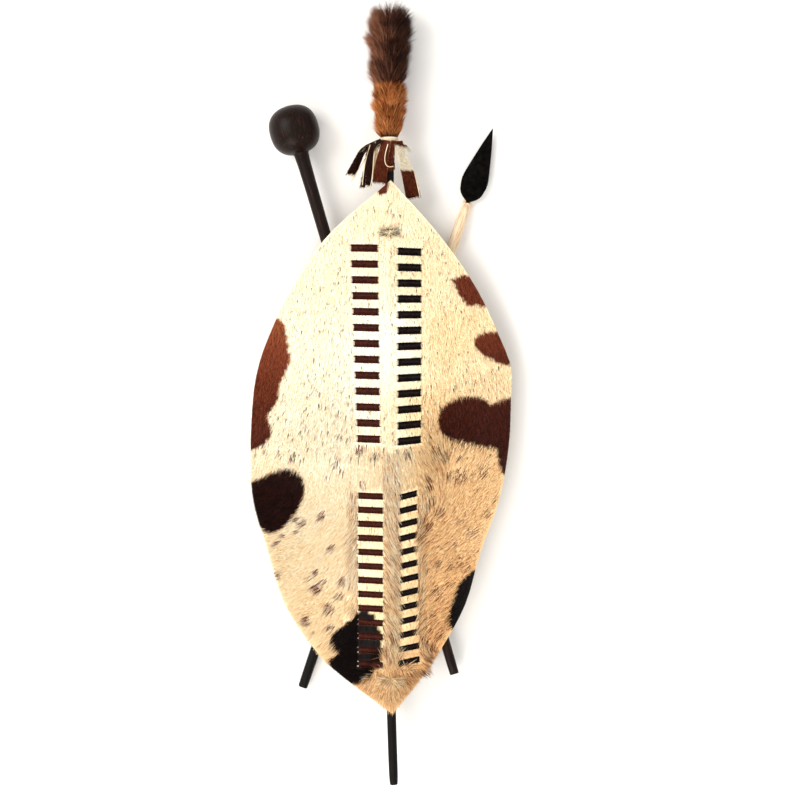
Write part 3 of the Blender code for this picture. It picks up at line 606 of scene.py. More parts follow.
def hair_finish(name, stops, roughness, root):
    """Hair as it grows, brushed flat: a soft sheen, and darker at the roots, where light hardly comes."""
    material, tree, shader = new_finish(name, Roughness=roughness, Specular_IOR_Level=0.12)
    shade = add(tree, "ShaderNodeAttribute", attribute_name="shade")
    along = add(tree, "ShaderNodeAttribute", attribute_name="along")
    ramp = add(tree, "ShaderNodeValToRGB", {"Fac": shade.outputs["Fac"]})
    shade_stops(ramp, stops)
    depth = add(tree, "ShaderNodeValToRGB", {"Fac": along.outputs["Fac"]})
    shade_stops(depth, [(0.0, root), (0.5, "#ffffff")])
    mixed = add(
        tree,
        "ShaderNodeMix",
        {"Factor": 1.0, 6: ramp.outputs["Color"], 7: depth.outputs["Color"]},
        data_type="RGBA",
        blend_type="MULTIPLY",
    )
    tree.links.new(mixed.outputs[2], shader.inputs["Base Color"])
    return material


# Cow hair, short and straight: the tips are bright and the roots sink into a warm shade
cow_hair = hair_finish("cow_hair", COW_HAIR, 0.55, "#efe6d8")

# %% The patches
# The shade at the top and at the bottom, then the outline in millimetres right of the stick and
# above the lower tip
PATCHES = {
    "left_long": ((0.62, 0.76), (
        (-128, 456), (-120, 446), (-117, 426), (-114, 404), (-119, 393), (-129, 375), (-127, 362),
        (-136, 349), (-142, 343), (-137, 329), (-136, 320), (-141, 312), (-159, 302), (-174, 300),
        (-177, 383), (-147, 461),
    )),
    "left_dark": ((0.88, 0.9), (
        (-165, 262), (-149, 271), (-135, 278), (-117, 283), (-102, 277), (-96, 261), (-98, 246),
        (-108, 226), (-120, 212), (-136, 206), (-149, 212), (-163, 225),
    )),
    "right_first": ((0.7, 0.7), (
        (70, 500), (90, 505), (106, 500), (125, 468), (111, 468), (88, 469), (81, 479), (75, 492),
    )),
    "right_second": ((0.68, 0.74), (
        (95, 427), (105, 437), (124, 440), (144, 435), (150, 399), (137, 400), (123, 404), (103, 415),
    )),
    "right_large": ((0.77, 0.84), (
        (55, 334), (58, 349), (70, 360), (92, 367), (108, 362), (118, 354), (137, 365), (156, 360),
        (152, 270), (132, 270), (126, 290), (124, 306), (109, 308), (93, 310), (78, 314), (62, 320),
    )),
    "lower_right": ((0.98, 0.98), (
        (112, 172), (92, 161), (79, 147), (73, 128), (69, 108), (73, 93), (95, 80), (125, 140),
    )),
    "lower_left": ((0.97, 0.97), (
        (-34, 120), (-42, 109), (-62, 96), (-66, 85), (-62, 76), (-53, 73), (-64, 65), (-69, 59),
        (-59, 26), (-44, 33), (-29, 39), (-16, 50), (-8, 61), (-8, 83), (-14, 105), (-18, 116),
    )),
    "tip_tuft": ((0.74, 0.74), (
        (-20, 612), (1, 612), (-1, 600), (-6, 595), (-13, 596), (-18, 602),
    )),
}
# Places with the shade of the light coat there: the hide's own tones, with painted light on the left
# and painted shade on the right laid in
CREAM = (
    (0, 600, 0.20), (-60, 500, 0.16), (60, 500, 0.24), (-100, 400, 0.12), (-60, 350, 0.08),
    (0, 430, 0.06), (70, 430, 0.30), (100, 390, 0.26), (-60, 300, 0.10), (0, 300, 0.17), (60, 330, 0.32),
    (60, 290, 0.36), (110, 250, 0.40), (-100, 240, 0.14), (-120, 170, 0.20), (-60, 170, 0.18),
    (-80, 110, 0.24), (0, 200, 0.26), (0, 100, 0.31), (60, 200, 0.40), (90, 150, 0.44), (60, 90, 0.44),
    (0, 30, 0.38), (-30, 30, 0.40), (30, 40, 0.43),
)
# Soft grey spots: place and radius
SPOTS = (
    (-94, 107, 5), (-82, 145, 6), (-68, 121, 6), (52, 302, 6), (64, 297, 5), (83, 275, 7), (110, 274, 5),
    (47, 245, 6), (97, 209, 7), (88, 169, 5), (56, 141, 6), (47, 101, 5), (47, 82, 5), (46, 64, 6),
    (41, 47, 6), (-34, 305, 4), (70, 60, 4), (20, 130, 3), (118, 230, 6), (126, 245, 5), (60, 232, 5),
)


def rounded_outline(points):
    """A closed outline with its corners cut twice."""
    ring = np.array(points, float)
    for _ in range(2):
        after = np.roll(ring, -1, axis=0)
        ring = np.stack([0.75 * ring + 0.25 * after, 0.25 * ring + 0.75 * after], 1).reshape(-1, 2)
    return ring


def inside(places, ring):
    """Which of the places lie inside the closed outline."""
    within = np.zeros(len(places), bool)
    for (x0, y0), (x1, y1) in zip(ring, np.roll(ring, -1, axis=0)):
        if y0 != y1:
            spans = (y0 > places[:, 1]) != (y1 > places[:, 1])
            within ^= spans & (places[:, 0] < x0 + (x1 - x0) * (places[:, 1] - y0) / (y1 - y0))
    return within


def blended(places, table, reach):
    """A value between those of a table of (x, y, value), by distance."""
    table = np.array(table, float)
    weights = 1 / (((places[:, None, :] - table[None, :, :2]) ** 2).sum(2) + reach**2) ** 2
    return (weights * table[:, 2]).sum(1) / weights.sum(1)


# %% The shade of each hair of the coat
FLECKS = 1900
FLECK_SIZE = (1.05, 1.15)  # half its width and half its length
draw = np.random.default_rng(11)
flecks = np.stack([draw.uniform(-165, 145, FLECKS), draw.uniform(290, 600, FLECKS)], 1)
SMALL_SPOTS = 90
small_spots = np.stack(
    [
        draw.uniform(-130, 130, SMALL_SPOTS),
        draw.uniform(70, 300, SMALL_SPOTS),
        draw.uniform(1.5, 4.0, SMALL_SPOTS),
    ],
    1,
)
CREAM_REACH = 12.0  # millimetres over which one place of CREAM gives way to the next
FLECK_SHADE = 0.88
SPOT_SHADE = 0.67
STRAY_ROOT = 0.9  # millimetres by which a root may stray over a patch's outline
PATCH_SPREAD = 0.16  # how far the shades in a patch lie apart
print("flecks:", FLECKS, "spots:", len(SPOTS) + SMALL_SPOTS)


def patched(shade, places, spread):
    """The shade with the patches laid over it. spread is each hair's own change of shade."""
    for (upper, lower), outline in PATCHES.values():
        ring = rounded_outline(outline)
        held = inside(places, ring)
        own = np.interp(places[:, 1], (ring[:, 1].min(), ring[:, 1].max()), (lower, upper))
        shade = np.where(held, own + spread, shade)
    return shade


def coat_shade(roots, chance):
    """Cream with a few darker hairs, then the flecks and the grey spots, then the patches over all."""
    places = from_stick(roots)
    stray = np.random.default_rng(5).normal(0, STRAY_ROOT, places.shape)
    # The light coat's tones, with their painted light and painted shade
    shade = blended(places, CREAM, CREAM_REACH) - 0.03 + 0.28 * chance**3
    dark = np.zeros(len(places), bool)
    for x, y in flecks:
        ways = np.abs(places - (x, y)) / FLECK_SIZE
        dark |= (ways**2).sum(1) < 1
    grey = np.zeros(len(places), bool)
    for x, y, radius in (*SPOTS, *small_spots):
        near = ((places - (x, y)) ** 2).sum(1) < (radius + 1) ** 2
        grey |= near & (chance > 0.35)
    shade = np.where(dark, FLECK_SHADE, np.where(grey, SPOT_SHADE, shade))
    return patched(shade, places + stray, (chance - 0.5) * PATCH_SPREAD)


# %% The skin under the hair
def ramp_colours(shade, stops):
    """The linear colour of each shade between the stops."""
    bright = np.array([linear(code) for _, code in stops])
    return np.stack([np.interp(shade, [place for place, _ in stops], bright[:, k]) for k in range(4)], 1)


def ground_finish(name):
    """Cowhide under its coat, with the stubble of the hair in it: matt, with the mesh's own colour."""
    material, tree, shader = new_finish(name, Roughness=0.7, Specular_IOR_Level=0.2)
    ground = add(tree, "ShaderNodeAttribute", attribute_name="ground")
    tree.links.new(ground.outputs["Color"], shader.inputs["Base Color"])
    spot = add(tree, "ShaderNodeTexCoord").outputs["Object"]
    stubble = add(tree, "ShaderNodeTexNoise", {"Vector": spot, "Scale": 1 / (0.9 * MM), "Detail": 3.0})
    relief = add(
        tree, "ShaderNodeBump", {"Height": stubble.outputs["Fac"], "Strength": 0.5, "Distance": 0.3 * MM}
    )
    tree.links.new(relief.outputs["Normal"], shader.inputs["Normal"])
    return material


def colour_ground(made, shade, top, edge):
    """Gives the front faces the ground's finish, and the edges and the back plain rawhide."""
    colours = made.data.attributes.new("ground", "FLOAT_COLOR", "POINT")
    colours.data.foreach_set("color", ramp_colours(shade, COW_HAIR).astype(np.float32).ravel())
    made.data.materials.clear()
    made.data.materials.append(top)
    made.data.materials.append(edge)
    index = [0 if face.normal.z > FRONT else 1 for face in made.data.polygons]
    made.data.polygons.foreach_set("material_index", index)
    made.data.update()


hide_ground = ground_finish("hide_ground")
# The ground under the hair has the same tones, painted light and painted shade included
skin_shade = patched(blended(on_hide, CREAM, CREAM_REACH), on_hide, 0.0)
colour_ground(skin, skin_shade, hide_ground, rawhide)
print("ground colours:", len(skin_shade))


# %% Growing the coat
PER_CM2 = 10000.0
coat = []
# Name, side and half, hairs to the square centimetre, how far they stand up and stray, seed
COATS = (
    ("coat_upper_left", -1.0, 1.0, 85, 0.10, 0.14, 3),
    ("coat_upper_right", 1.0, 1.0, 85, 0.10, 0.14, 4),
    ("coat_lower_left", -1.0, -1.0, 82, 0.08, 0.10, 5),
    ("coat_lower_right", 1.0, -1.0, 84, 0.08, 0.11, 6),
)
for name, side, half, strands, lift, stray, seed in COATS:
    grown = realised(
        skin,
        HAIR,
        name,
        Strands=strands * PER_CM2,
        Length=COAT_LENGTH,
        Width=0.9 * MM,
        Lift=lift,
        Scatter=stray,
        Bend=0.08,
        Segments=1,
        Side=side,
        Half=half,
        Seed=seed,
        Finish=cow_hair,
    )
    tint(grown, coat_shade)
    coat.append(grown)

# %% Longer hair down the spine, beside the lower lacing, at the tip and round the upper tie
LONG_MM = 15
WHORLS = ((2, 553, 8), (0, 42, 27))  # the middle and the radius of each, in the coat's millimetres
DARK_TUFTS = ((3, 551, 5), (5, 38, 7), (-35, 28, 6), (36, 44, 7), (-2, 4, 4))
ways, _ = combed(on_hide)
centre_from = np.array([face.center for face in skin.data.polygons])
middles = from_stick(centre_from)
right_of, up = middles[:, 0], middles[:, 1]
# The spine itself, then a band 40 mm to each side of it along the lower lacing
long_haired = (np.abs(right_of - 1) < 9) & (up > 50) & (up < 300)
long_haired |= (np.abs(np.abs(right_of + 1) - 40) < 5) & (up > 62) & (up < 255)
for x, y, radius in WHORLS:
    far = np.linalg.norm(on_hide - (x, y), axis=1, keepdims=True)
    ways = np.where(far < radius, (on_hide - (x, y)) / np.maximum(far, 0.5), ways)
    long_haired |= ((middles - (x, y)) ** 2).sum(1) < radius**2
is_front = np.array([face.normal.z > FRONT for face in skin.data.polygons])
_, covered = lacing(middles)
skin.data.attributes["haired"].data.foreach_set("value", long_haired & is_front & ~covered)
flow = np.concatenate([ways, np.zeros((len(ways), 1))], 1)
skin.data.attributes["flow"].data.foreach_set("vector", flow.astype(np.float32).ravel())
spans = np.minimum(np.where(on_hide[:, 1] > 400, 0.45, 1.0), (0.7 * to_rim + 0.2) / LONG_MM)
skin.data.attributes["reach"].data.foreach_set("value", spans.astype(np.float32))
long_hair = realised(
    skin, HAIR, "long_hair", Strands=75 * PER_CM2, Length=LONG_MM * MM, Width=0.8 * MM, Lift=0.20,
    Scatter=0.18, Bend=0.16, Segments=3, Side=0.0, Half=0.0, Seed=12, Finish=cow_hair,
)


def long_shade(roots, chance):
    """Cream mixed with brown hairs, and dark tufts in a few places."""
    places = from_stick(roots)
    # The light coat's tones, with their painted light and painted shade, then brown hairs mixed in
    shade = blended(places, CREAM, CREAM_REACH) - 0.16 + 0.62 * chance**2
    for x, y, radius in DARK_TUFTS:
        near = ((places - (x, y)) ** 2).sum(1) < radius**2
        shade = np.where(near & (chance > 0.35), 0.80, shade)
    return patched(shade, places, (chance - 0.5) * PATCH_SPREAD)


tint(long_hair, long_shade)

# %% [markdown]
# ## The strips of lacing
#
# The strips are cut from dark hide, with short hair still on them: brown on the left, nearly black on
# the right. The frame's strips keep their shape and get a finish of dark hide. Short hairs stand up
# from each bar, upwards in its upper half and downwards in the rest, and soften both of its edges.

# %% Dark hide for the strips
def dark_hide(name, low, high):
    """Hide tanned with its hair on: dark and matt, with fine streaks down the strip."""
    material, tree, shader = new_finish(name, Roughness=0.6, Specular_IOR_Level=0.2)
    spot = add(tree, "ShaderNodeTexCoord").outputs["Object"]
    sizes = (1 / (0.8 * MM), 1 / (5 * MM), 1 / (0.8 * MM))
    sized = add(tree, "ShaderNodeVectorMath", {0: spot, 1: sizes}, operation="MULTIPLY").outputs[0]
    streaks = add(tree, "ShaderNodeTexNoise", {"Vector": sized, "Scale": 1.0, "Detail": 3.0})
    ramp = add(tree, "ShaderNodeValToRGB", {"Fac": streaks.outputs["Fac"]})
    shade_stops(ramp, [(0.3, low), (0.7, high)])
    tree.links.new(ramp.outputs["Color"], shader.inputs["Base Color"])
    relief = add(
        tree, "ShaderNodeBump", {"Height": streaks.outputs["Fac"], "Strength": 0.6, "Distance": 0.3 * MM}
    )
    tree.links.new(relief.outputs["Normal"], shader.inputs["Normal"])
    return material


# Brown cowhide keeps a red tone where light falls on it; black cowhide is nearly black all over
brown_hide = dark_hide("brown_hide", "#260a06", "#4a170d")
black_hide = dark_hide("black_hide", "#080403", "#1c0b08")
for name, finish in (
    ("strip_upper_left", brown_hide),
    ("strip_lower_left", brown_hide),
    ("strip_upper_right", black_hide),
    ("strip_lower_right", black_hide),
):
    nodes[name].data.materials.clear()
    nodes[name].data.materials.append(finish)

# %% Short hair on the strips
UPPER_HALF = 4  # millimetres of a bar whose hair lies upwards
strips, mesh = merged_copy([column[0] for column in COLUMNS], "strips")
divide(mesh, 4 * MM)
mesh.normal_update()
centres = from_stick([face.calc_center_median() for face in mesh.faces])
_, showing = lacing(centres)
front = np.array([face.normal.z > FRONT for face in mesh.faces])
store(strips, mesh)
count = len(strips.data.vertices)
above, _ = lacing(from_stick([corner.co for corner in strips.data.vertices]))
upwards = np.where((above > -UPPER_HALF) & (above < 0), 1.0, -1.0)
ways = np.stack([np.full(count, 0.05), upwards, np.zeros(count)], 1)
make_host(strips, front & showing, ways, 1.0)
strip_hair = realised(
    strips, HAIR, "strip_hair", Strands=150 * PER_CM2, Length=4.4 * MM, Width=0.7 * MM, Lift=0.42,
    Scatter=0.22, Bend=0.1, Segments=1, Side=0.0, Half=0.0, Seed=8, Finish=cow_hair,
)


def strip_shade(roots, chance):
    """Brown left of the stick, nearly black right of it."""
    places = from_stick(roots)
    return np.where(places[:, 0] < 0, 0.76, 0.95) + (chance - 0.5) * 0.14


tint(strip_hair, strip_shade)
bpy.data.objects.remove(strips)

# %% Hair over the two ties, so that little of the thongs is seen
ties, mesh = merged_copy(["tie_upper", "tie_lower"], "ties")
divide(mesh, 2 * MM)
store(ties, mesh)
on_ties = np.array([corner.co for corner in ties.data.vertices])
high = on_ties[:, 1] > WAIST_Y
ways = np.zeros((len(on_ties), 3))
for chosen in (high, ~high):
    ways[chosen, :2] = on_ties[chosen, :2] - on_ties[chosen, :2].mean(0)
ways[:, :2] += np.where(high[:, None], (0.0, 0.0), (0.0, -3.0)) * MM
ways /= np.maximum(np.linalg.norm(ways, axis=1, keepdims=True), 1e-6)
seen = [face.normal.z > -0.2 for face in ties.data.polygons]  # all but the undersides
make_host(ties, seen, ways, np.where(high, 0.6, 1.0))
tie_hair = realised(
    ties, HAIR, "tie_hair", Strands=260 * PER_CM2, Length=12 * MM, Width=0.8 * MM, Lift=0.12, Scatter=0.6,
    Bend=0.2, Segments=2, Side=0.0, Half=0.0, Seed=14, Finish=cow_hair,
)


def tie_shade(roots, chance):
    """One hair in three dark on the upper tie, mixed browns on the lower one."""
    dark_stroke = np.where(chance > 0.66, 0.9, 0.12 + 0.2 * chance)
    return np.where(roots[:, 1] > WAIST_Y, dark_stroke, 0.20 + 0.44 * chance**2)


tint(tie_hair, tie_shade)
bpy.data.objects.remove(ties)

# %% [markdown]
# ## Wood, iron and leather
#
# The stick is a straight branch with dark bark. The club is carved from dark hardwood and oiled, the
# spear's shaft is a peeled pale branch, black towards its butt, and its blade is forged iron, black
# from the fire. The frame's shapes are rounded with a subdivision, and the grain runs along each piece.


# %% Finishes that follow the length of a piece
SPEAR_ANGLE = math.radians(18.8)  # to the right of the stick
CLUB_ANGLE = math.radians(-16.4)


def grain_place(tree, angle, across, along):
    """Object coordinates turned so that Y runs along the piece, then divided by the grain's sizes."""
    spot = add(tree, "ShaderNodeTexCoord").outputs["Object"]
    turned = add(
        tree, "ShaderNodeVectorRotate", {"Vector": spot, "Angle": angle}, rotation_type="Z_AXIS"
    ).outputs[0]
    sizes = (1 / across, 1 / along, 1 / across)
    sized = add(tree, "ShaderNodeVectorMath", {0: turned, 1: sizes}, operation="MULTIPLY")
    return turned, sized.outputs[0]


def grained(name, angle, stops, roughness, across, along, depth):
    """Wood, or a thong, with its grain along the piece."""
    material, tree, shader = new_finish(name, Roughness=roughness, Specular_IOR_Level=0.12)
    _, place = grain_place(tree, angle, across, along)
    grain = add(
        tree, "ShaderNodeTexNoise", {"Vector": place, "Scale": 1.0, "Detail": 5.0, "Roughness": 0.6}
    )
    ramp = add(tree, "ShaderNodeValToRGB", {"Fac": grain.outputs["Fac"]})
    shade_stops(ramp, stops)
    tree.links.new(ramp.outputs["Color"], shader.inputs["Base Color"])
    relief = add(
        tree, "ShaderNodeBump", {"Height": grain.outputs["Fac"], "Strength": 0.7, "Distance": depth}
    )
    tree.links.new(relief.outputs["Normal"], shader.inputs["Normal"])
    return material, tree, shader, ramp


# A branch in its bark, blackened by smoke: matt and nearly black, with a trace of brown on the ridges
bark, _, _, _ = grained(
    "dark_bark", 0.0, [(0.3, "#050303"), (0.62, "#0d0908"), (0.8, "#1f1510")], 0.6, 2.5 * MM,
    14 * MM, 0.5 * MM,
)
# Dark hardwood, carved, scraped smooth and oiled: a soft gloss over long fine pores and red streaks
club_wood, _, _, _ = grained(
    "oiled_hardwood", CLUB_ANGLE, [(0.3, "#0c0503"), (0.55, "#170c07"), (0.78, "#4a2115")], 0.38, 1.6 * MM,
    24 * MM, 0.25 * MM,
)
# A branch peeled and scraped, then charred at its butt: pale yellow with brown streaks, then black
peeled, peeled_tree, peeled_shader, peeled_ramp = grained(
    "peeled_branch", SPEAR_ANGLE, [(0.3, "#c98a5c"), (0.45, "#ecd2ae"), (0.7, "#f6e6cd")], 0.5, 2.2 * MM,
    22 * MM, 0.2 * MM,
)
turned, _ = grain_place(peeled_tree, SPEAR_ANGLE, MM, MM)
height = add(peeled_tree, "ShaderNodeSeparateXYZ", {0: turned}).outputs["Y"]
charred = add(
    peeled_tree, "ShaderNodeMapRange", {"Value": height, "From Min": -0.06, "From Max": -0.02}
).outputs[0]
two_parts = add(
    peeled_tree,
    "ShaderNodeMix",
    {"Factor": charred, 6: linear("#0b0807"), 7: peeled_ramp.outputs["Color"]},
    data_type="RGBA",
)
peeled_tree.links.new(two_parts.outputs[2], peeled_shader.inputs["Base Color"])

# Iron forged and left as it came from the fire: black, dull and a little uneven
iron, tree, shader = new_finish("forged_iron", Metallic=1.0, Roughness=0.5, Base_Color=linear("#1b1a19"))
spot = add(tree, "ShaderNodeTexCoord").outputs["Object"]
scale_marks = add(tree, "ShaderNodeTexNoise", {"Vector": spot, "Scale": 1 / (6 * MM), "Detail": 6.0})
ramp = add(tree, "ShaderNodeValToRGB", {"Fac": scale_marks.outputs["Fac"]})
shade_stops(ramp, [(0.3, "#080706"), (0.75, "#1a1816")])
tree.links.new(ramp.outputs["Color"], shader.inputs["Base Color"])
relief = add(
    tree, "ShaderNodeBump", {"Height": scale_marks.outputs["Fac"], "Strength": 0.6, "Distance": 0.3 * MM}
)
tree.links.new(relief.outputs["Normal"], shader.inputs["Normal"])

# Rawhide cut into thongs and dried: pale and matt
thong_leather, _, _, _ = grained(
    "rawhide_thong", 0.0, [(0.3, "#dcc9a2"), (0.6, "#f2e4c4"), (0.8, "#fbf2dc")], 0.7, 2.0 * MM,
    2.0 * MM, 0.2 * MM,
)
# Leather tanned with bark and cut into thongs: light brown and matt
tan_thong, _, _, _ = grained(
    "tan_thong", 0.0, [(0.3, "#9c7146"), (0.6, "#c99f6c"), (0.8, "#dfbd8c")], 0.7, 2.0 * MM,
    2.0 * MM, 0.2 * MM,
)
print("finishes so far:", len(bpy.data.materials))


# %% Rounding the frame's shapes
def rounded_piece(node, name, finish, levels):
    """A joined, subdivided copy of a frame node, in the same place."""
    made, mesh = merged_copy([node], name)
    bmesh.ops.join_triangles(
        mesh, faces=mesh.faces[:], angle_face_threshold=0.35, angle_shape_threshold=1.2
    )
    for face in mesh.faces:
        face.smooth = True
    store(made, mesh)
    made.data.materials.clear()
    made.data.materials.append(finish)
    soft = made.modifiers.new("round", "SUBSURF")
    soft.levels = levels
    soft.render_levels = levels
    return made


branch = rounded_piece("stick", "stick_branch", bark, 2)
club = rounded_piece("club", "carved_club", club_wood, 2)
shaft = rounded_piece("spear_shaft", "peeled_shaft", peeled, 2)
for name, finish in (
    ("spear_blade", iron),
    ("tie_upper", thong_leather),
    ("tie_lower", tan_thong),
    ("weapon_loop", thong_leather),
):
    nodes[name].data.materials.clear()
    nodes[name].data.materials.append(finish)
print("rounded:", branch.name, club.name, shaft.name)

# %% [markdown]
# ## The fur tail
#
# The top of the stick wears two sleeves of fur, ginger below and dark above. The hairs spring from a
# narrow skin and spread up and outwards, so that their tips make the tail's outline. Each sleeve is a
# thin core, turned round the stick, with long hairs of the same tree.


# %% A core round the stick, and its hair
CORE_RINGS = 18


def fur_core(name, node, shares, finish, sides=24):
    """A closed lathe round the stick inside the frame's sleeve. shares are (along, radius) of it."""
    low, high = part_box(node)
    middle = (low + high) / 2
    radius = (high.x - low.x) / 2
    mesh = bmesh.new()
    rings = []
    stations = np.linspace(shares[0][0], shares[-1][0], CORE_RINGS)
    widths = np.interp(stations, [along for along, _ in shares], [wide for _, wide in shares])
    for along, wide in zip(stations, widths):
        y = low.y + along * (high.y - low.y)
        ring = []
        for k in range(sides):
            angle = 2 * math.pi * k / sides
            x = middle.x + wide * radius * math.cos(angle)
            z = middle.z + wide * radius * math.sin(angle)
            ring.append(mesh.verts.new((x, y, z)))
        rings.append(ring)
    for below, ring in zip(rings, rings[1:]):
        for k in range(sides):
            after = (k + 1) % sides
            mesh.faces.new((below[k], ring[k], ring[after], below[after]))
    mesh.faces.new(rings[0])
    mesh.faces.new(list(reversed(rings[-1])))
    bmesh.ops.recalc_face_normals(mesh, faces=mesh.faces[:])
    made = bpy.data.objects.new(name, bpy.data.meshes.new(name))
    bpy.context.scene.collection.objects.link(made)
    store(made, mesh)
    made.data.materials.append(finish)
    return made, middle


FLATTENED = 0.7  # the tail lies on its side, so its hairs spread less up and down
CLUMPING = 0.55  # how far neighbouring tufts turn away from each other, as a slope


def grow_fur(core, middle, spreads, name, finish, **inputs):
    """Hair on a core: up the stick, and outwards by the slope that spreads gives at its two ends."""
    corners = np.array([corner.co for corner in core.data.vertices])
    out = corners - (middle.x, 0, middle.z)
    out[:, 1] = 0
    out /= np.maximum(np.linalg.norm(out, axis=1, keepdims=True), 1e-6)
    ends = (corners[:, 1].min(), corners[:, 1].max())
    spread = np.interp(corners[:, 1], ends, spreads)[:, None]
    clumps = np.random.default_rng(7).uniform(-CLUMPING, CLUMPING, corners.shape)
    ways = (out * spread + clumps) * (1.0, 1.0, FLATTENED) + (0.0, 1.0, 0.0)
    make_host(core, [True] * len(core.data.polygons), ways, 1.0)
    return realised(core, HAIR, name, Side=0.0, Half=0.0, Finish=finish, **inputs)


# Long hair left as it grew: strands from warm brown to black beside each other, with a soft sheen
TAIL_TONES = [(0.0, "#ae765a"), (0.35, "#5c3526"), (0.7, "#26130d"), (1.0, "#060302")]
dark_tail_hair = hair_finish("dark_tail_hair", TAIL_TONES, 0.45, "#3a2c26")
# Ginger hair, combed outwards: every strand has a tone of its own, from orange to dark brown
GINGER_TONES = [(0.0, "#f0a868"), (0.4, "#c87236"), (0.75, "#7c3c1a"), (1.0, "#2c1208")]
ginger_hair = hair_finish("ginger_hair", GINGER_TONES, 0.45, "#553828")


dark_core, middle = fur_core(
    "tail_dark_skin",
    "tail_dark",
    [(-0.08, 0.32), (0.2, 0.34), (0.55, 0.34), (0.72, 0.26), (0.8, 0.1)],
    black_hide,
)
dark_fur = grow_fur(
    dark_core, middle, (0.62, 1.0), "tail_dark_fur", dark_tail_hair, Strands=300 * PER_CM2,
    Length=26 * MM, Width=1.1 * MM, Lift=0.06, Scatter=0.16, Bend=0.12, Segments=2, Seed=21,
)


TUFT = 4.5 * MM  # the width of a tuft of fur that has one tone


def tuft_tone(roots):
    """A number from -1 to 1 that is nearly the same over a tuft."""
    waves = [np.sin(roots @ (np.array(way) / TUFT)) for way in ((1.3, 0.9, 1.1), (-0.8, 1.2, 0.7))]
    return (waves[0] + waves[1]) / 2


def dark_fur_shade(roots, chance):
    """Darker towards the right, where the tail lies in its own shade."""
    beside = from_stick(roots)[:, 0]
    return 0.60 - np.clip((2 - beside) / 20, 0, 0.42) + (chance - 0.5) * 0.66 + 0.14 * tuft_tone(roots)


tint(dark_fur, dark_fur_shade)
ginger_core, middle = fur_core(
    "tail_ginger_skin", "tail_ginger", [(-0.02, 0.44), (0.3, 0.48), (0.6, 0.48), (0.82, 0.40)], brown_hide
)
ginger_fur = grow_fur(
    ginger_core, middle, (0.36, 1.1), "tail_ginger_fur", ginger_hair, Strands=280 * PER_CM2,
    Length=17 * MM, Width=1.05 * MM, Lift=0.12, Scatter=0.16, Bend=0.12, Segments=2, Seed=22,
)


def ginger_shade(roots, chance):
    """A wide spread from hair to hair, and a little from tuft to tuft."""
    return 0.46 + (chance - 0.5) * 1.05 + 0.16 * tuft_tone(roots)


tint(ginger_fur, ginger_shade)

# %% [markdown]
# ## The fringe at the neck
#
# Under the tail a collar of pale skin ends in a fringe of narrow strips, cut from the same kinds of
# hide. Some show their hair, and some their bare, curled edge.

# %% The fringe's strips
# Name of the group, its frame nodes, the shade of its hair, and the slot of its finish
FRINGES = (
    ("fringe_pale", ("fringe_collar", "fringe_inner_left"), 0.16, "fringe_pale"),
    ("fringe_brown", ("fringe_middle", "fringe_curl", "fringe_right"), 0.72, "fringe_brown"),
    (
        "fringe_dark",
        ("fringe_outer_left", "fringe_left_thin", "fringe_left_black", "fringe_right_dark"),
        0.88,
        "fringe_dark",
    ),
)


def fringe_shade(roots, chance, shade):
    """The group's shade, but white on the right strip's upper part and on the outer left strip's end."""
    right_of, up = from_stick(roots).T
    white = ((right_of > 6) & (up > 625) & (up < 652)) | ((right_of < -37) & (up < 620))
    return np.where(white, 0.08, shade) + (chance - 0.5) * 0.22


fringe_pieces = []
for name, members, shade, slot in FRINGES:
    strips, mesh = merged_copy(members, name)
    divide(mesh, 3 * MM)
    store(strips, mesh)
    count = len(strips.data.vertices)
    places = np.array([corner.co for corner in strips.data.vertices])
    colour_ground(strips, fringe_shade(places, 0.5, shade), hide_ground, rawhide)
    beside = from_stick(places)[:, 0]
    ways = np.stack([np.clip(beside / 40, -0.7, 0.7), np.full(count, -1.0), np.zeros(count)], 1)
    make_host(strips, [face.normal.z > FACING for face in strips.data.polygons], ways, 1.0)
    hair = realised(
        strips, HAIR, name + "_hair", Strands=140 * PER_CM2, Length=4 * MM, Width=0.6 * MM, Lift=0.22,
        Scatter=0.25, Bend=0.1, Segments=1, Side=0.0, Half=0.0, Seed=31, Finish=cow_hair,
    )
    tint(hair, lambda roots, chance, shade=shade: fringe_shade(roots, chance, shade))
    fringe_pieces += [(strips, members, slot), (hair, (), slot)]

# %% [markdown]
# Where a strip curls, its cut edge shows as a pale line. Each of these edges is a thin round strand of
# rawhide along the strip: a curve with a bevel is the quickest way, made a mesh before it is placed.

# %% Pale cut edges
EDGE_RADIUS = 0.5 * MM
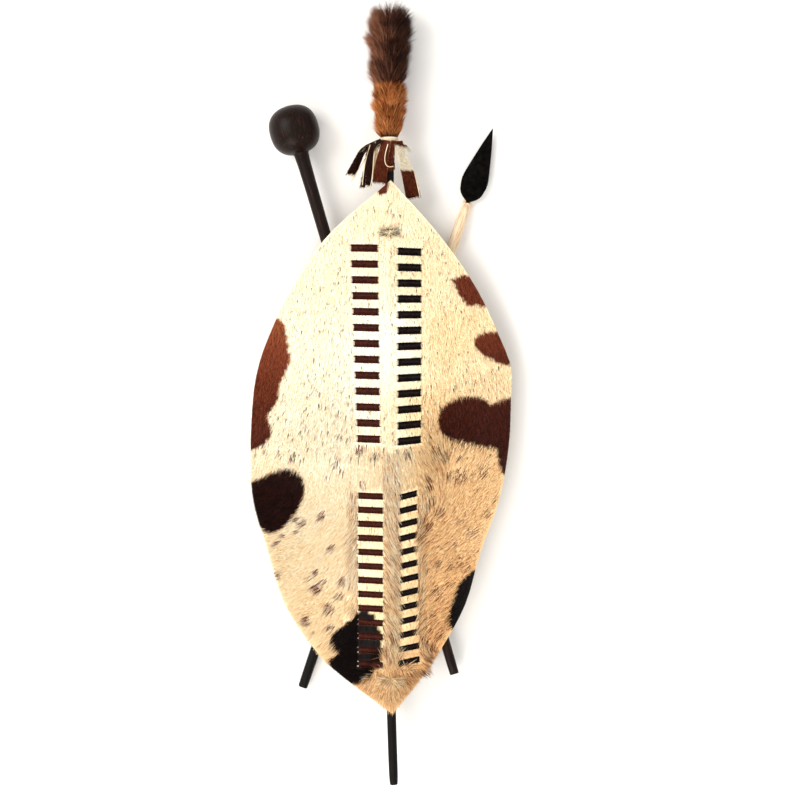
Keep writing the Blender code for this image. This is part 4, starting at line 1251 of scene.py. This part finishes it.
# Millimetres right of the stick, up from the hide's lower tip, and above the floor
PALE_EDGES = (
    ((-1.7, 652, 51.5), (-5.0, 641, 52.5), (-5.5, 631, 52), (-1.5, 625, 51), (4.5, 627, 49)),
    ((-14, 657, 41), (-26, 641, 37), (-36, 624, 33), (-44, 612, 31)),
    ((-22, 652, 46), (-27, 636, 47), (-30, 618, 46), (-31, 606, 44)),
    ((-16, 655, 49), (-18, 636, 52), (-19, 616, 51), (-22, 602, 49)),
    ((28.5, 622, 39), (32, 608, 34), (35, 595, 29)),
)
edge_curve = bpy.data.curves.new("pale_edges", "CURVE")
edge_curve.dimensions = "3D"
edge_curve.bevel_depth = EDGE_RADIUS
edge_curve.bevel_resolution = 1
edge_curve.use_fill_caps = True
for line in PALE_EDGES:
    spline = edge_curve.splines.new("NURBS")
    spline.points.add(len(line) - 1)
    spline.use_endpoint_u = True
    spline.order_u = 3
    for point, (right, up, over) in zip(spline.points, line):
        point.co = (STICK_X + right * MM, TIP_Y + up * MM, over * MM, 1.0)
carrier = bpy.data.objects.new("edge_curve", edge_curve)
bpy.context.scene.collection.objects.link(carrier)
bpy.context.view_layer.update()
edge_mesh = bpy.data.meshes.new_from_object(carrier.evaluated_get(bpy.context.evaluated_depsgraph_get()))
bpy.data.objects.remove(carrier)
pale_edges = bpy.data.objects.new("fringe_edges", edge_mesh)
bpy.context.scene.collection.objects.link(pale_edges)
edge_mesh.materials.clear()
edge_mesh.materials.append(rawhide)
fringe_pieces.append((pale_edges, (), "fringe_pale"))
print("pale edges:", len(PALE_EDGES), "faces:", len(edge_mesh.polygons))

# %% [markdown]
# ## Tying the pieces to the body
#
# Every piece is tied to the object's one body, and the frame nodes that it stands for are hidden.

# %% Bodies, nodes and slots
DRESS = (
    (skin, ("hide",), "hide_hair"),
    *((part, (), "hide_hair") for part in (*coat, long_hair, tie_hair)),
    (strip_hair, (), "strip_brown"),
    (branch, ("stick",), "black_wood"),
    (club, ("club",), "dark_wood"),
    (shaft, ("spear_shaft",), "pale_wood"),
    (dark_core, ("tail_dark",), "dark_fur"),
    (dark_fur, (), "dark_fur"),
    (ginger_core, ("tail_ginger",), "ginger_fur"),
    (ginger_fur, (), "ginger_fur"),
    *fringe_pieces,
)
for piece, stood_for, slot in DRESS:
    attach(piece, "root")
    if stood_for:
        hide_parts(*stood_for)
faces = {piece.name: len(piece.data.polygons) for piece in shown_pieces()}
print("faces:", faces, "in all", sum(faces.values()))
